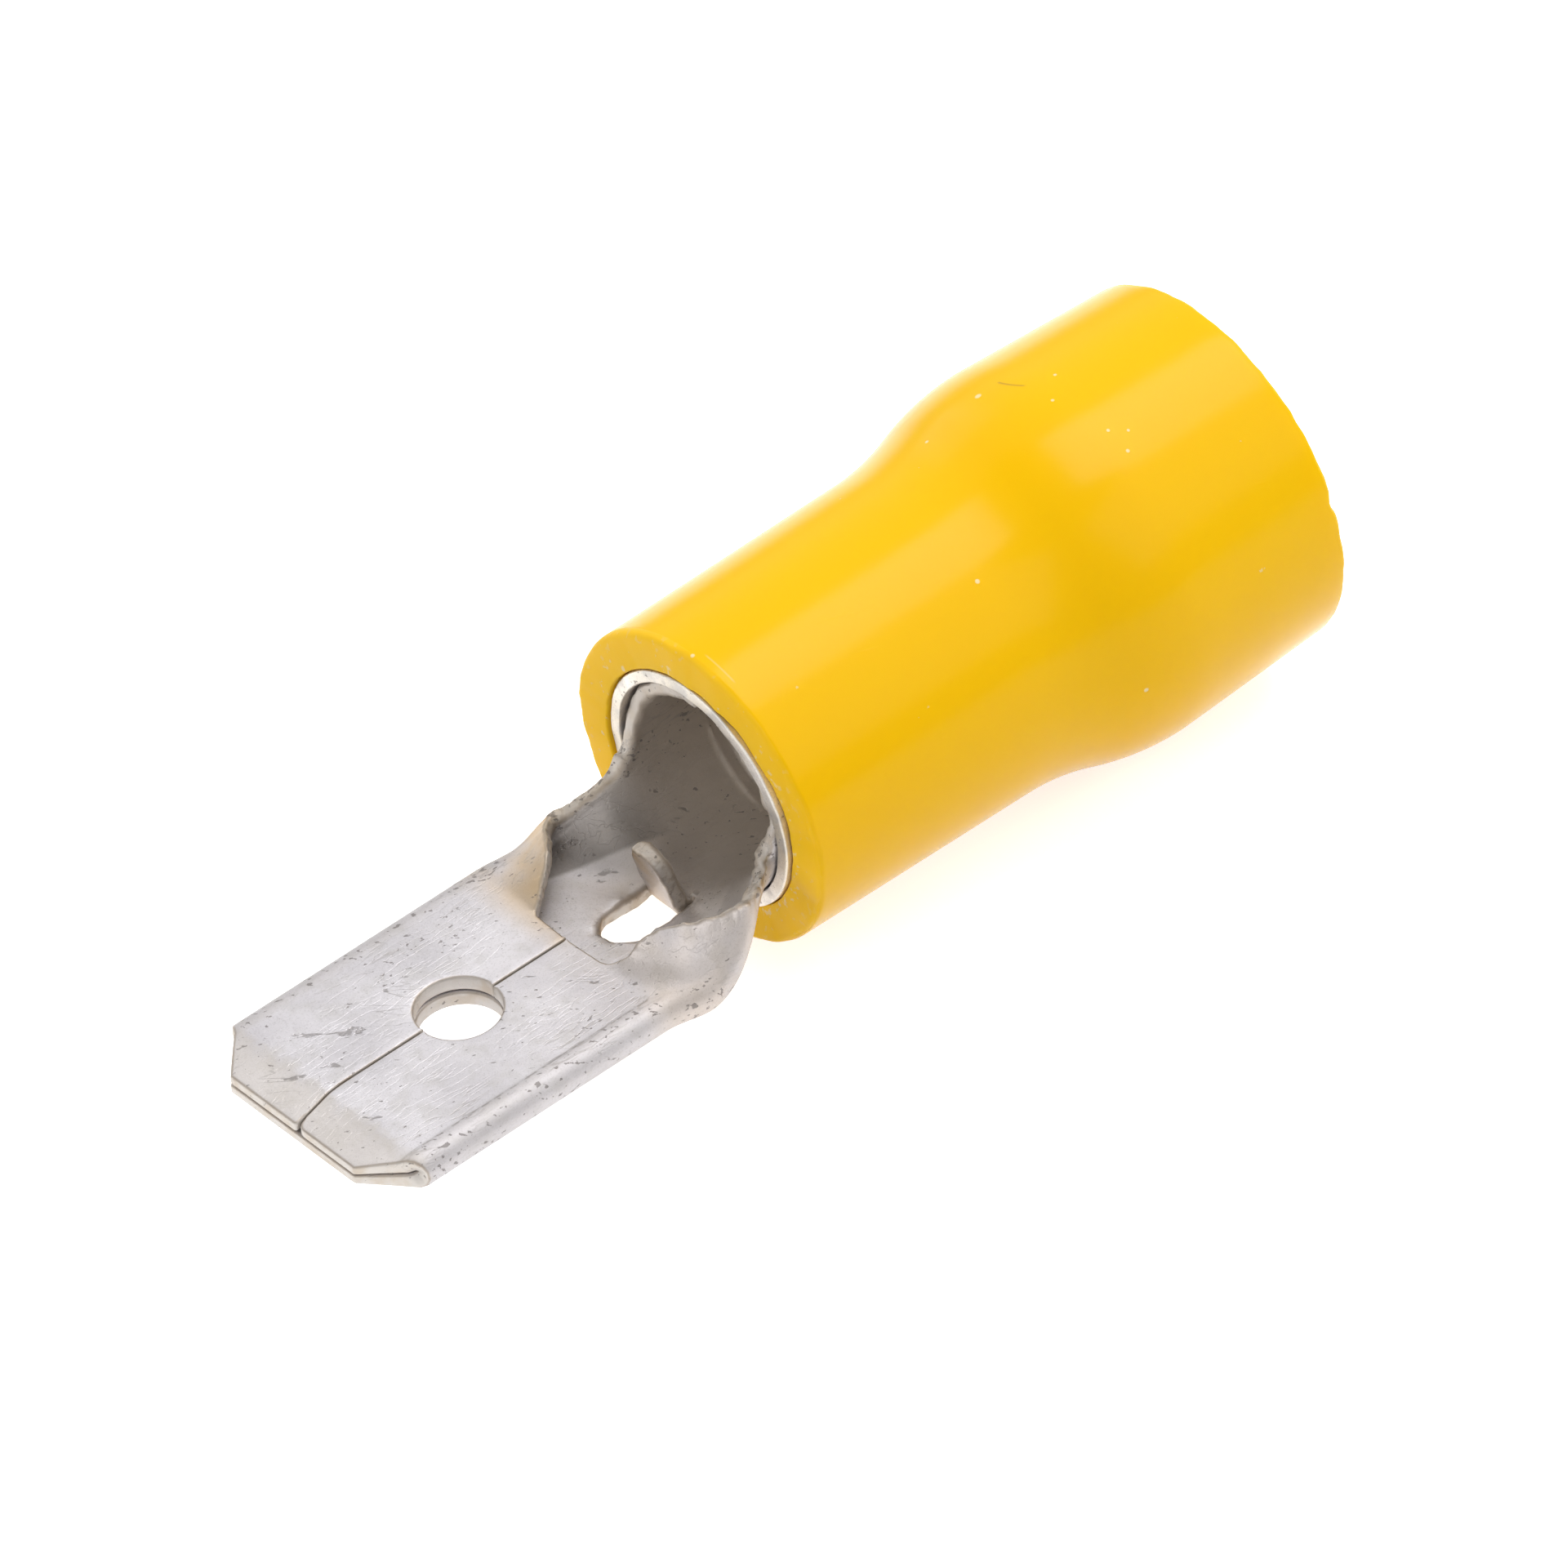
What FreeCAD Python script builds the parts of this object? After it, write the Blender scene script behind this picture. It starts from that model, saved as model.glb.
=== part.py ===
"""Insulated male spade terminal with a double-crimp barrel, for 4 to 6 mm2 wire.

Three pieces: the folded sheet-metal terminal, the metal support sleeve round its barrel, and the
plastic insulating sleeve. The frame's origin is on the barrel's axis at the rear face of the
insulating sleeve, where the wire goes in. +X points to the tip of the blade and +Z is up, square
to the blade.
"""
import FreeCAD, Part
import math
import os
import Sketcher

Vector = FreeCAD.Vector

doc = FreeCAD.newDocument("spade_terminal")

# Driving sizes in millimetres, angles in degrees
SIZES = [
    ("blade_width", 6.35, "width of the blade over its folded edges"),
    ("blade_thickness", 0.8, "both layers of the blade together"),
    ("layer_gap", 0.04, "air left between the two layers of the blade"),
    ("seam_gap", 0.06, "air left where the two flaps meet on top of the blade"),
    ("flap_length", 7.45, "tip of the blade to the rear end of its flaps"),
    ("throat_length", 3.89, "rear end of the flaps to the front edge of the barrel"),
    ("barrel_radius", 2.42, "outer radius of the barrel, whose underside is level with the blade's"),
    ("barrel_length", 6.8, "front edge to rear edge of the barrel"),
    ("barrel_seam", 0.08, "air left where the barrel's edges meet on top"),
    ("relief_half", 1.2, "middle to the edge of the opening behind the flaps"),
    ("wall_short", 0.185, "how far the throat's walls stay short of the strip's folded stretch"),
    ("wall_step", 0.45, "how much higher the walls are where they enter the barrel"),
    ("hole_radius", 0.925, "detent hole through the blade"),
    ("hole_from_tip", 4.5, "tip of the blade to the middle of the detent hole"),
    ("corner_cut", 1.2, "cut-off corners of the blade's tip"),
    ("nose_length", 1.0, "length of the pressed lead-in at the tip"),
    ("nose_depth", 0.16, "depth of the lead-in on each face"),
    ("slot_behind", 0.77, "rear end of the flaps to the round front end of the wire-stop slot"),
    ("slot_length", 1.5, "front end of the slot to the front of the wire-stop tongue"),
    ("slot_width", 1.04, "width of the wire-stop slot"),
    ("slot_aside", 0.1, "how far the slot and its tongue lie towards +Y"),
    ("tongue_gap", 0.03, "how much narrower the tongue is than its slot, each side"),
    ("tongue_height", 1.66, "floor to the top of the wire-stop tongue"),
    ("tongue_lean", 11.0, "how far the tongue leans towards the blade"),
    ("tongue_bend", 0.1, "inner radius of the bend at the tongue's foot"),
    ("groove_first", 1.75, "front edge of the barrel to its first grip groove"),
    ("groove_pitch", 1.6, "from one grip groove to the next"),
    ("groove_width", 0.34, "width of a grip groove"),
    ("groove_depth", 0.07, "depth of a grip groove"),
    ("sleeve_length", 14.1, "length of the insulating sleeve"),
    ("front_wall", 0.88, "wall of the insulating sleeve at its front face"),
    ("neck_wall", 0.94, "its wall where the flare starts"),
    ("bell_wall", 0.83, "its wall where the flare ends"),
    ("rear_wall", 0.65, "its wall at the rear face"),
    ("flare_front", 7.8, "rear face to the narrow end of the flare"),
    ("flare_rear", 3.5, "rear face to the wide end of the flare"),
    ("front_rounding", 0.16, "rounding of the insulating sleeve's outer front edge"),
    ("edge_break", 0.1, "chamfer of the insulating sleeve's other edges"),
    ("support_wall", 0.3, "wall of the support sleeve"),
    ("support_gap", 0.05, "air between the barrel and the support sleeve"),
    ("support_front", 0.14, "front face of the insulating sleeve to the support sleeve"),
    ("support_rear", 0.2, "rear face of the insulating sleeve to the support sleeve"),
    ("flare_step", 0.73, "how much the flare widens the support sleeve for the wire's insulation"),
    ("fit_gap", 0.03, "air between the support sleeve and the insulating sleeve"),
]

size = doc.addObject("Spreadsheet::Sheet", "size")
for row, (alias, number, note) in enumerate(SIZES, start=1):
    size.set(f"A{row}", alias)
    size.set(f"B{row}", str(number))
    size.set(f"C{row}", note)
    size.setAlias(f"B{row}", alias)

# Sizes and places that follow from the driving ones
PLACES = [
    ("rear_face", "0"),
    ("sheet_metal", "(size.blade_thickness - size.layer_gap) / 2"),
    ("underside", "-size.barrel_radius"),
    ("blade_top", "underside + size.blade_thickness"),
    ("floor_top", "underside + sheet_metal"),
    ("edge_half", "size.blade_width / 2"),
    ("barrel_front", "size.sleeve_length - size.support_front"),
    ("flaps_rear", "barrel_front + size.throat_length"),
    ("blade_tip", "flaps_rear + size.flap_length"),
    ("bore_radius", "size.barrel_radius - sheet_metal"),
    ("hole_x", "blade_tip - size.hole_from_tip"),
    ("nose_x", "blade_tip - size.nose_length"),
    ("ahead", "blade_tip + size.nose_length"),
    ("slot_half", "size.slot_width / 2"),
    ("slot_near", "size.slot_aside + slot_half"),
    ("slot_far", "size.slot_aside - slot_half"),
    ("slot_front", "flaps_rear - size.slot_behind"),
    ("slot_round", "slot_front - slot_half"),
    ("bend_outside", "size.tongue_bend + sheet_metal"),
    ("bend_x", "slot_front - size.slot_length - bend_outside"),
    ("bend_z", "floor_top + size.tongue_bend"),
    ("tongue_root", "bend_x - sheet_metal"),
    ("tongue_top", "floor_top + size.tongue_height"),
    ("tongue_half", "slot_half - size.tongue_gap"),
    ("tongue_near", "size.slot_aside + tongue_half"),
    ("tongue_far", "size.slot_aside - tongue_half"),
    ("crown_centre", "tongue_top - tongue_half"),
    ("crown_over", "tongue_top + sheet_metal"),
    ("crown_near", "tongue_near + sheet_metal"),
    ("crown_far", "tongue_far - sheet_metal"),
    ("groove_x", "barrel_front - size.groove_first"),
    ("groove_bottom", "bore_radius + size.groove_depth"),
    ("groove_top", "bore_radius - size.groove_depth"),
    ("support_bore", "size.barrel_radius + size.support_gap"),
    ("support_outside", "support_bore + size.support_wall"),
    ("entry_radius", "support_bore + size.flare_step"),
    ("entry_outside", "entry_radius + size.support_wall"),
    ("sleeve_bore", "support_outside + size.fit_gap"),
    ("bell_bore", "entry_outside + size.fit_gap"),
    ("front_outside", "sleeve_bore + size.front_wall"),
    ("neck_outside", "sleeve_bore + size.neck_wall"),
    ("bell_outside", "bell_bore + size.bell_wall"),
    ("rear_outside", "bell_bore + size.rear_wall"),
]

place = doc.addObject("Spreadsheet::Sheet", "place")
for row, (alias, formula) in enumerate(PLACES, start=1):
    place.set(f"A{row}", alias)
    place.set(f"B{row}", f"={formula}")
    place.setAlias(f"B{row}", alias)
doc.recompute()


# Helpers for bodies and sketches
def cell(name):
    """Number behind a name such as place.hole_x."""
    sheet_name, alias = name.split(".")
    return getattr(doc.getObject(sheet_name), alias)


def new_body(name):
    """Body whose label names its file."""
    body = doc.addObject("PartDesign::Body", name)
    body.Label = name
    return body


def new_sketch(body, name, role):
    """Sketch flat on one of the body's own origin planes."""
    sketch = body.newObject("Sketcher::SketchObject", name)
    planes = [feature for feature in body.Origin.OriginFeatures if feature.Role == role]
    sketch.AttachmentSupport = [(planes[0], "")]
    sketch.MapMode = "FlatFace"
    return sketch


def bind(sketch, constraint, label, expression):
    """Add a dimension and tie it to the sheets."""
    index = sketch.addConstraint(constraint)
    sketch.renameConstraint(index, label)
    sketch.setExpression(f"Constraints.{label}", expression)


def place_across(sketch, label, element, corner, expression):
    """Tie how far a point lies across the sketch."""
    drawn = sketch.getPoint(element, corner).x
    bind(sketch, Sketcher.Constraint("DistanceX", -1, 1, element, corner, drawn), f"{label}_x", expression)


def place_up(sketch, label, element, corner, expression):
    """Tie how far a point lies up the sketch."""
    drawn = sketch.getPoint(element, corner).y
    bind(sketch, Sketcher.Constraint("DistanceY", -1, 1, element, corner, drawn), f"{label}_y", expression)


def place_point(sketch, label, element, corner, across, up):
    """Tie both distances of a point."""
    place_across(sketch, label, element, corner, across)
    place_up(sketch, label, element, corner, up)


def join(sketch, kind, pairs):
    """Join ends of elements: each pair is (element, end, next element, end)."""
    for first, end, second, start in pairs:
        sketch.addConstraint(Sketcher.Constraint(kind, first, end, second, start))


def closed_outline(sketch, label, corners):
    """Closed outline of straight edges through corners given as pairs of expressions."""
    first = sketch.GeometryCount
    count = len(corners)
    ring = [Vector(math.cos(math.tau * k / count), math.sin(math.tau * k / count), 0) for k in range(count)]
    for k in range(count):
        sketch.addGeometry(Part.LineSegment(ring[k], ring[(k + 1) % count]), False)
    join(sketch, "Coincident", [(first + k, 2, first + (k + 1) % count, 1) for k in range(count)])
    for k, (across, up) in enumerate(corners):
        place_point(sketch, f"{label}_{k}", first + k, 1, across, up)


def cut_through(body, sketch, name):
    """Pocket right through the body, both ways from the sketch."""
    pocket = body.newObject("PartDesign::Pocket", name)
    pocket.Profile = sketch
    pocket.Midplane = True
    pocket.setExpression("Length", "4 * place.blade_tip")
    return pocket


# Bent strip: sections square to X, followed from the middle outwards along the floor, the folded
# edge and the flap
sheet_metal = place.sheet_metal
mid_level = place.underside + sheet_metal / 2
mid_radius = size.barrel_radius - sheet_metal / 2
fold_radius = (size.layer_gap + sheet_metal) / 2
floor_half = (size.blade_width - size.blade_thickness) / 2
fold_run = math.pi * fold_radius
blade_half = 2 * floor_half + fold_run - size.seam_gap / 2
barrel_half = math.pi * mid_radius - size.barrel_seam / 2
relief_width = 2 * floor_half + fold_run - size.relief_half
wall_width = floor_half + fold_run - size.wall_short
GROOVE_COUNT = 3

# The throat, followed by its share of the way from the blade, 0, to the barrel, 1
THROAT_STATIONS = 13
UNFOLDING = 1.2
ROLL_FROM = 0.2
WALL_FALLS_FROM = 0.1
WALL_LOW_BY = 0.75
STEP_FROM = 0.8

# Shortest stretch left past the fold where a wall ends within it
LAST_STRETCH = 0.05


def strip_section(x, floor_bend, fold_bend, flap_bend, half_width):
    """Outline of the strip at x; each stretch is an arc of its own curvature."""
    folded = min(fold_run, half_width - floor_half - LAST_STRETCH)
    flap_run = half_width - floor_half - folded
    y, z, heading = 0.0, mid_level, 0.0
    inside, outside = [], []
    for run, bend in ((floor_half, floor_bend), (folded, fold_bend), (flap_run, flap_bend)):
        stops = []
        for length in (0.0, run / 2, run):
            turned = heading + bend * length
            if bend:
                across = (math.sin(turned) - math.sin(heading)) / bend
                up = (math.cos(heading) - math.cos(turned)) / bend
            else:
                across, up = length * math.cos(heading), length * math.sin(heading)
            stops.append((y + across, z + up, turned))
        for edges, off in ((inside, sheet_metal / 2), (outside, -sheet_metal / 2)):
            edges.append([(sy - off * math.sin(a), sz + off * math.cos(a)) for sy, sz, a in stops])
        y, z, heading = stops[-1]

    def edges_of(side):
        """Edges on the side of +Y or -Y."""
        made = []
        for stretch in outside + inside:
            start, middle, end = [Vector(x, side * sy, sz) for sy, sz in stretch]
            straight = (middle - (start + end) / 2).Length < 1e-7
            curve = Part.LineSegment(start, end) if straight else Part.Arc(start, middle, end)
            made.append(curve.toShape())
        corners = [Vector(x, side * sy, sz) for sy, sz in (outside[-1][-1], inside[-1][-1])]
        made.append(Part.LineSegment(*corners).toShape())
        return made

    return Part.Wire(Part.__sortEdges__(edges_of(1) + edges_of(-1)))


def ease(share):
    """Smooth step from 0 to 1."""
    share = min(max(share, 0.0), 1.0)
    return share * share * (3 - 2 * share)


def throat_section(share):
    """Section of the throat, from the blade at 0 to the barrel at 1."""
    x = place.flaps_rear - size.throat_length * share
    rolled = ease((share - ROLL_FROM) / (1 - ROLL_FROM))
    fold_angle = math.pi + (fold_run / mid_radius - math.pi) * share ** UNFOLDING
    fallen = ease((share - WALL_FALLS_FROM) / (WALL_LOW_BY - WALL_FALLS_FROM))
    half_width = relief_width + (wall_width - relief_width) * fallen
    half_width += size.wall_step * ease((share - STEP_FROM) / (1 - STEP_FROM))
    return strip_section(x, rolled / mid_radius, fold_angle / fold_run, rolled ** 2 / mid_radius, half_width)


def straight_strip(section, length):
    """Stretch of strip of one section, along X."""
    return Part.Face(section).extrude(Vector(length, 0, 0))


blade_section = strip_section(place.flaps_rear, 0, math.pi / fold_run, 0, blade_half)
barrel_section = strip_section(place.barrel_front, *[1 / mid_radius] * 3, barrel_half)
throat_sections = [throat_section(k / (THROAT_STATIONS - 1)) for k in range(THROAT_STATIONS)]
stretches = []
for name, shape in (
    ("blade_strip", straight_strip(blade_section, size.flap_length)),
    ("throat_strip", Part.makeLoft(throat_sections, True, False)),
    ("barrel_strip", straight_strip(barrel_section, -size.barrel_length)),
):
    stretch = doc.addObject("Part::Feature", name)
    stretch.Shape = shape
    stretches.append(stretch)
strip = doc.addObject("Part::MultiFuse", "bent_strip")
strip.Shapes = stretches
doc.recompute()

# Terminal: the bent strip with its cuts and its wire stop
terminal = new_body("terminal_body")
terminal.BaseFeature = strip
doc.recompute()

# Detent hole
hole_sketch = new_sketch(terminal, "hole_sketch", "XY_Plane")
hole_sketch.addGeometry(Part.Circle(Vector(place.hole_x, 0, 0), Vector(0, 0, 1), 1.0), False)
place_point(hole_sketch, "hole", 0, 3, "place.hole_x", "0")
bind(hole_sketch, Sketcher.Constraint("Radius", 0, 1.0), "hole_radius", "size.hole_radius")
cut_through(terminal, hole_sketch, "detent_hole")

# Cut-off corners of the tip
corner_sketch = new_sketch(terminal, "corner_sketch", "XY_Plane")
for side, sign in (("near", ""), ("far", "-")):
    closed_outline(corner_sketch, side, [
        ("place.blade_tip - 2 * size.corner_cut", f"{sign}(place.edge_half + size.corner_cut)"),
        ("place.blade_tip + size.corner_cut", f"{sign}(place.edge_half - 2 * size.corner_cut)"),
        ("place.blade_tip + size.corner_cut", f"{sign}(place.edge_half + size.corner_cut)"),
    ])
cut_through(terminal, corner_sketch, "tip_corners")

# Pressed lead-in on both faces of the tip
nose_sketch = new_sketch(terminal, "nose_sketch", "XZ_Plane")
for face, level, into, away in (
    ("top", "place.blade_top", "-", "+"),
    ("under", "place.underside", "+", "-"),
):
    closed_outline(nose_sketch, face, [
        ("place.nose_x", level),
        ("place.ahead", f"{level} {into} 2 * size.nose_depth"),
        ("place.ahead", f"{level} {away} size.nose_depth"),
        ("place.nose_x", f"{level} {away} size.nose_depth"),
    ])
cut_through(terminal, nose_sketch, "nose_bevels")

# Slot in the floor, round in front and cut back to the foot of the tongue
slot_sketch = new_sketch(terminal, "slot_sketch", "XY_Plane")
near_round = Vector(place.slot_round, place.slot_near, 0)
near_rear = Vector(place.bend_x, place.slot_near, 0)
far_rear = Vector(place.bend_x, place.slot_far, 0)
far_round = Vector(place.slot_round, place.slot_far, 0)
round_centre = Vector(place.slot_round, size.slot_aside, 0)
round_end = Part.Circle(round_centre, Vector(0, 0, 1), place.slot_half)
slot_sketch.addGeometry([
    Part.LineSegment(near_round, near_rear),
    Part.LineSegment(near_rear, far_rear),
    Part.LineSegment(far_rear, far_round),
    Part.ArcOfCircle(round_end, -math.pi / 2, math.pi / 2),
], False)
join(slot_sketch, "Coincident", [(0, 2, 1, 1), (1, 2, 2, 1), (2, 2, 3, 1), (3, 2, 0, 1)])
place_point(slot_sketch, "near_round", 0, 1, "place.slot_round", "place.slot_near")
place_point(slot_sketch, "near_rear", 1, 1, "place.bend_x", "place.slot_near")
place_point(slot_sketch, "far_rear", 2, 1, "place.bend_x", "place.slot_far")
place_point(slot_sketch, "far_round", 3, 1, "place.slot_round", "place.slot_far")
place_across(slot_sketch, "round_centre", 3, 3, "place.slot_round")
slot_cut = terminal.newObject("PartDesign::Pocket", "stop_slot")
slot_cut.Profile = slot_sketch
slot_cut.setExpression("Length", "2 * size.barrel_radius")

# Tongue bent up from the rear end of the slot
tongue_sketch = new_sketch(terminal, "tongue_sketch", "XZ_Plane")
tongue_sketch.setExpression("AttachmentOffset.Base.z", "-size.slot_aside")
lean = math.radians(size.tongue_lean)
hub = Vector(place.bend_x, place.bend_z, 0)


def bend_end(radius):
    """Where an arc round the hub meets the tongue's straight part."""
    return hub + Vector(math.cos(lean), -math.sin(lean), 0) * radius


def at_top(start):
    """Where a side of the tongue reaches the level of its top."""
    rise = place.tongue_top - start.y
    return start + Vector(math.tan(lean), 1, 0) * rise


def round_hub(radius):
    """Arc of the tongue's bend."""
    return Part.ArcOfCircle(Part.Circle(hub, Vector(0, 0, 1), radius), -math.pi / 2, -lean)


inner, outer = size.tongue_bend, place.bend_outside
root_low = Vector(place.tongue_root, place.bend_z - outer, 0)
root_high = Vector(place.tongue_root, place.bend_z - inner, 0)
tongue_sketch.addGeometry([
    Part.LineSegment(root_low, hub - Vector(0, outer, 0)),
    round_hub(outer),
    Part.LineSegment(bend_end(outer), at_top(bend_end(outer))),
    Part.LineSegment(at_top(bend_end(outer)), at_top(bend_end(inner))),
    Part.LineSegment(at_top(bend_end(inner)), bend_end(inner)),
    round_hub(inner),
    Part.LineSegment(hub - Vector(0, inner, 0), root_high),
    Part.LineSegment(root_high, root_low),
], False)
join(tongue_sketch, "Coincident", [(2, 2, 3, 1), (3, 2, 4, 1), (6, 2, 7, 1), (7, 2, 0, 1), (1, 3, 5, 3)])
join(tongue_sketch, "Tangent", [(0, 2, 1, 1), (1, 2, 2, 1), (4, 2, 5, 2), (5, 1, 6, 1)])
tongue_sketch.addConstraint([
    Sketcher.Constraint("Horizontal", 0),
    Sketcher.Constraint("Horizontal", 3),
    Sketcher.Constraint("Vertical", 7),
    Sketcher.Constraint("Parallel", 0, 6),
    Sketcher.Constraint("Parallel", 2, 4),
])
place_point(tongue_sketch, "hub", 1, 3, "place.bend_x", "place.bend_z")
bind(tongue_sketch, Sketcher.Constraint("Radius", 1, outer), "outer_bend", "place.bend_outside")
bind(tongue_sketch, Sketcher.Constraint("Radius", 5, inner), "inner_bend", "size.tongue_bend")
place_across(tongue_sketch, "root", 7, 1, "place.tongue_root")
place_up(tongue_sketch, "top", 3, 1, "place.tongue_top")
bind(tongue_sketch, Sketcher.Constraint("Angle", 2, math.pi / 2 - lean), "upright", "90 - size.tongue_lean")
tongue = terminal.newObject("PartDesign::Pad", "wire_stop_tongue")
tongue.Profile = tongue_sketch
tongue.Midplane = True
tongue.setExpression("Length", "2 * place.tongue_half")

# Round end of the tongue
crown_sketch = new_sketch(terminal, "crown_sketch", "YZ_Plane")
crown = [
    ("place.tongue_near", "place.crown_centre"),
    ("place.crown_near", "place.crown_centre"),
    ("place.crown_near", "place.crown_over"),
    ("place.crown_far", "place.crown_over"),
    ("place.crown_far", "place.crown_centre"),
    ("place.tongue_far", "place.crown_centre"),
]
crown_points = [Vector(cell(across), cell(up), 0) for across, up in crown]
for start, end in zip(crown_points, crown_points[1:]):
    crown_sketch.addGeometry(Part.LineSegment(start, end), False)
crown_arc = Part.Circle(Vector(size.slot_aside, place.crown_centre, 0), Vector(0, 0, 1), place.tongue_half)
crown_sketch.addGeometry(Part.ArcOfCircle(crown_arc, 0, math.pi), False)
join(crown_sketch, "Coincident", [(k, 2, k + 1, 1) for k in range(4)] + [(4, 2, 5, 2), (5, 1, 0, 1)])
for k, (across, up) in enumerate(crown[:5]):
    place_point(crown_sketch, f"crown_{k}", k, 1, across, up)
place_point(crown_sketch, "crown_5", 4, 2, *crown[5])
place_up(crown_sketch, "crown_centre", 5, 3, "place.crown_centre")
cut_through(terminal, crown_sketch, "tongue_crown")

# Grip grooves inside the barrel
groove_sketch = new_sketch(terminal, "groove_sketch", "XZ_Plane")
closed_outline(groove_sketch, "groove", [
    ("place.groove_x", "place.groove_top"),
    ("place.groove_x - size.groove_width", "place.groove_top"),
    ("place.groove_x - size.groove_width", "place.groove_bottom"),
    ("place.groove_x", "place.groove_bottom"),
])
groove = terminal.newObject("PartDesign::Groove", "grip_groove")
groove.Profile = groove_sketch
groove.ReferenceAxis = (groove_sketch, ["H_Axis"])
groove.Angle = 360
grooves = terminal.newObject("PartDesign::LinearPattern", "grip_grooves")
grooves.Originals = [groove]
grooves.Direction = (groove_sketch, ["H_Axis"])
grooves.Reversed = True
grooves.Occurrences = GROOVE_COUNT
grooves.setExpression("Length", f"{GROOVE_COUNT - 1} * size.groove_pitch")
terminal.Tip = grooves


# Sleeves: turned walls. A flare in sight is two equal arcs, each tangent to the straight wall
# beside it, and a hidden one is a plain cone
def curved_flare(sketch, neck, bell):
    """Two equal arcs from the narrow to the wide end; gives each with its first end."""
    middle = (neck + bell) / 2
    turn = 2 * math.atan2(bell.y - neck.y, neck.x - bell.x)
    bow = (middle - neck).Length / 2 * math.tan(turn / 4)
    across = Vector(bell.y - neck.y, neck.x - bell.x, 0).normalize() * bow
    arcs = sketch.addGeometry([
        Part.Arc(neck, (neck + middle) / 2 - across, middle),
        Part.Arc(middle, (middle + bell) / 2 + across, bell),
    ], False)
    sketch.addConstraint(Sketcher.Constraint("Equal", *arcs))
    return [(arc, 1 if (sketch.getPoint(arc, 1) - start).Length < 1e-6 else 2)
            for arc, start in zip(arcs, (neck, middle))]


def sleeve(name, walls):
    """Turned sleeve. walls gives the outer wall and then the bore: if its flare is curved, and as
    the place along X and the radius its front end, the narrow and the wide end of its flare, and
    its rear end."""
    body = new_body(name)
    sketch = new_sketch(body, f"{name}_sketch", "XZ_Plane")
    ends = []
    for number, (curved, stations) in enumerate(walls):
        front, neck, bell, rear = [Vector(cell(along), cell(out), 0) for along, out in stations]
        first = sketch.addGeometry(Part.LineSegment(front, neck), False)
        if curved:
            flare = curved_flare(sketch, neck, bell)
        else:
            flare = [(sketch.addGeometry(Part.LineSegment(neck, bell), False), 1)]
        last = sketch.addGeometry(Part.LineSegment(bell, rear), False)
        chain = [(first, 1)] + flare + [(last, 1)]
        join(sketch, "Tangent" if curved else "Coincident", [
            (element, 3 - start, follower, begin)
            for (element, start), (follower, begin) in zip(chain, chain[1:])
        ])
        for label, element, corner, station in (("front", first, 1, 0), ("neck", first, 2, 1),
                                                ("bell", last, 1, 2), ("rear", last, 2, 3)):
            place_point(sketch, f"{label}_{number}", element, corner, *stations[station])
        ends.append([(first, 1), (last, 2)])
    for outer_end, bore_end in zip(*ends):
        face = sketch.addGeometry(Part.LineSegment(*[sketch.getPoint(*end) for end in (outer_end, bore_end)]), False)
        join(sketch, "Coincident", [(*outer_end, face, 1), (face, 2, *bore_end)])
    turned = body.newObject("PartDesign::Revolution", f"{name}_turned")
    turned.Profile = sketch
    turned.ReferenceAxis = (sketch, ["H_Axis"])
    turned.Angle = 360
    doc.recompute()
    return body, turned


def rim(shape, along, radius):
    """Name of the round edge at a place along X with a given radius."""
    for number, edge in enumerate(shape.Edges, start=1):
        curve = edge.Curve
        if isinstance(curve, Part.Circle) and abs(curve.Radius - radius) < 1e-4:
            if abs(curve.Center.x - along) < 1e-4:
                return f"Edge{number}"
    raise ValueError(f"no rim at {along}, {radius}")


support, support_turned = sleeve("support_sleeve", [
    (False, [
        ("place.barrel_front", "place.support_outside"),
        ("size.flare_front", "place.support_outside"),
        ("size.flare_rear", "place.entry_outside"),
        ("size.support_rear", "place.entry_outside"),
    ]),
    (False, [
        ("place.barrel_front", "place.support_bore"),
        ("size.flare_front", "place.support_bore"),
        ("size.flare_rear", "place.entry_radius"),
        ("size.support_rear", "place.entry_radius"),
    ]),
])

insulation, insulation_turned = sleeve("insulating_sleeve", [
    (True, [
        ("size.sleeve_length", "place.front_outside"),
        ("size.flare_front", "place.neck_outside"),
        ("size.flare_rear", "place.bell_outside"),
        ("place.rear_face", "place.rear_outside"),
    ]),
    (False, [
        ("size.sleeve_length", "place.sleeve_bore"),
        ("size.flare_front", "place.sleeve_bore"),
        ("size.flare_rear", "place.bell_bore"),
        ("place.rear_face", "place.bell_bore"),
    ]),
])
for kind, label, dimension, rims in (
    ("Fillet", "front_rounding", "Radius", [(size.sleeve_length, place.front_outside)]),
    ("Chamfer", "edge_break", "Size", [
        (size.sleeve_length, place.sleeve_bore),
        (place.rear_face, place.rear_outside),
        (place.rear_face, place.bell_bore),
    ]),
):
    base = insulation.Tip
    dressing = insulation.newObject(f"PartDesign::{kind}", label)
    dressing.Base = (base, [rim(base.Shape, *where) for where in rims])
    dressing.setExpression(dimension, f"size.{label}")
    doc.recompute()

# Check every object, then write each piece
doc.recompute()
for feature in doc.Objects:
    if {"Invalid", "Error"} & set(feature.State):
        raise RuntimeError(f"{feature.Name}: {feature.State}")
pieces = [terminal, support, insulation]
for piece in pieces:
    if piece.Shape.isNull() or not piece.Shape.isValid() or len(piece.Shape.Solids) != 1:
        raise RuntimeError(f"{piece.Label} isn't one sound solid")
os.makedirs("parts", exist_ok=True)
for piece in pieces:
    piece.Shape.exportStep(f"parts/{piece.Label}.step")
    print(piece.Label, round(piece.Shape.Volume, 3), "mm3")
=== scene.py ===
"""Looks of an insulated male spade terminal: folded and tinned strip metal in a yellow sleeve."""

import math
from functools import reduce

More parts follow.
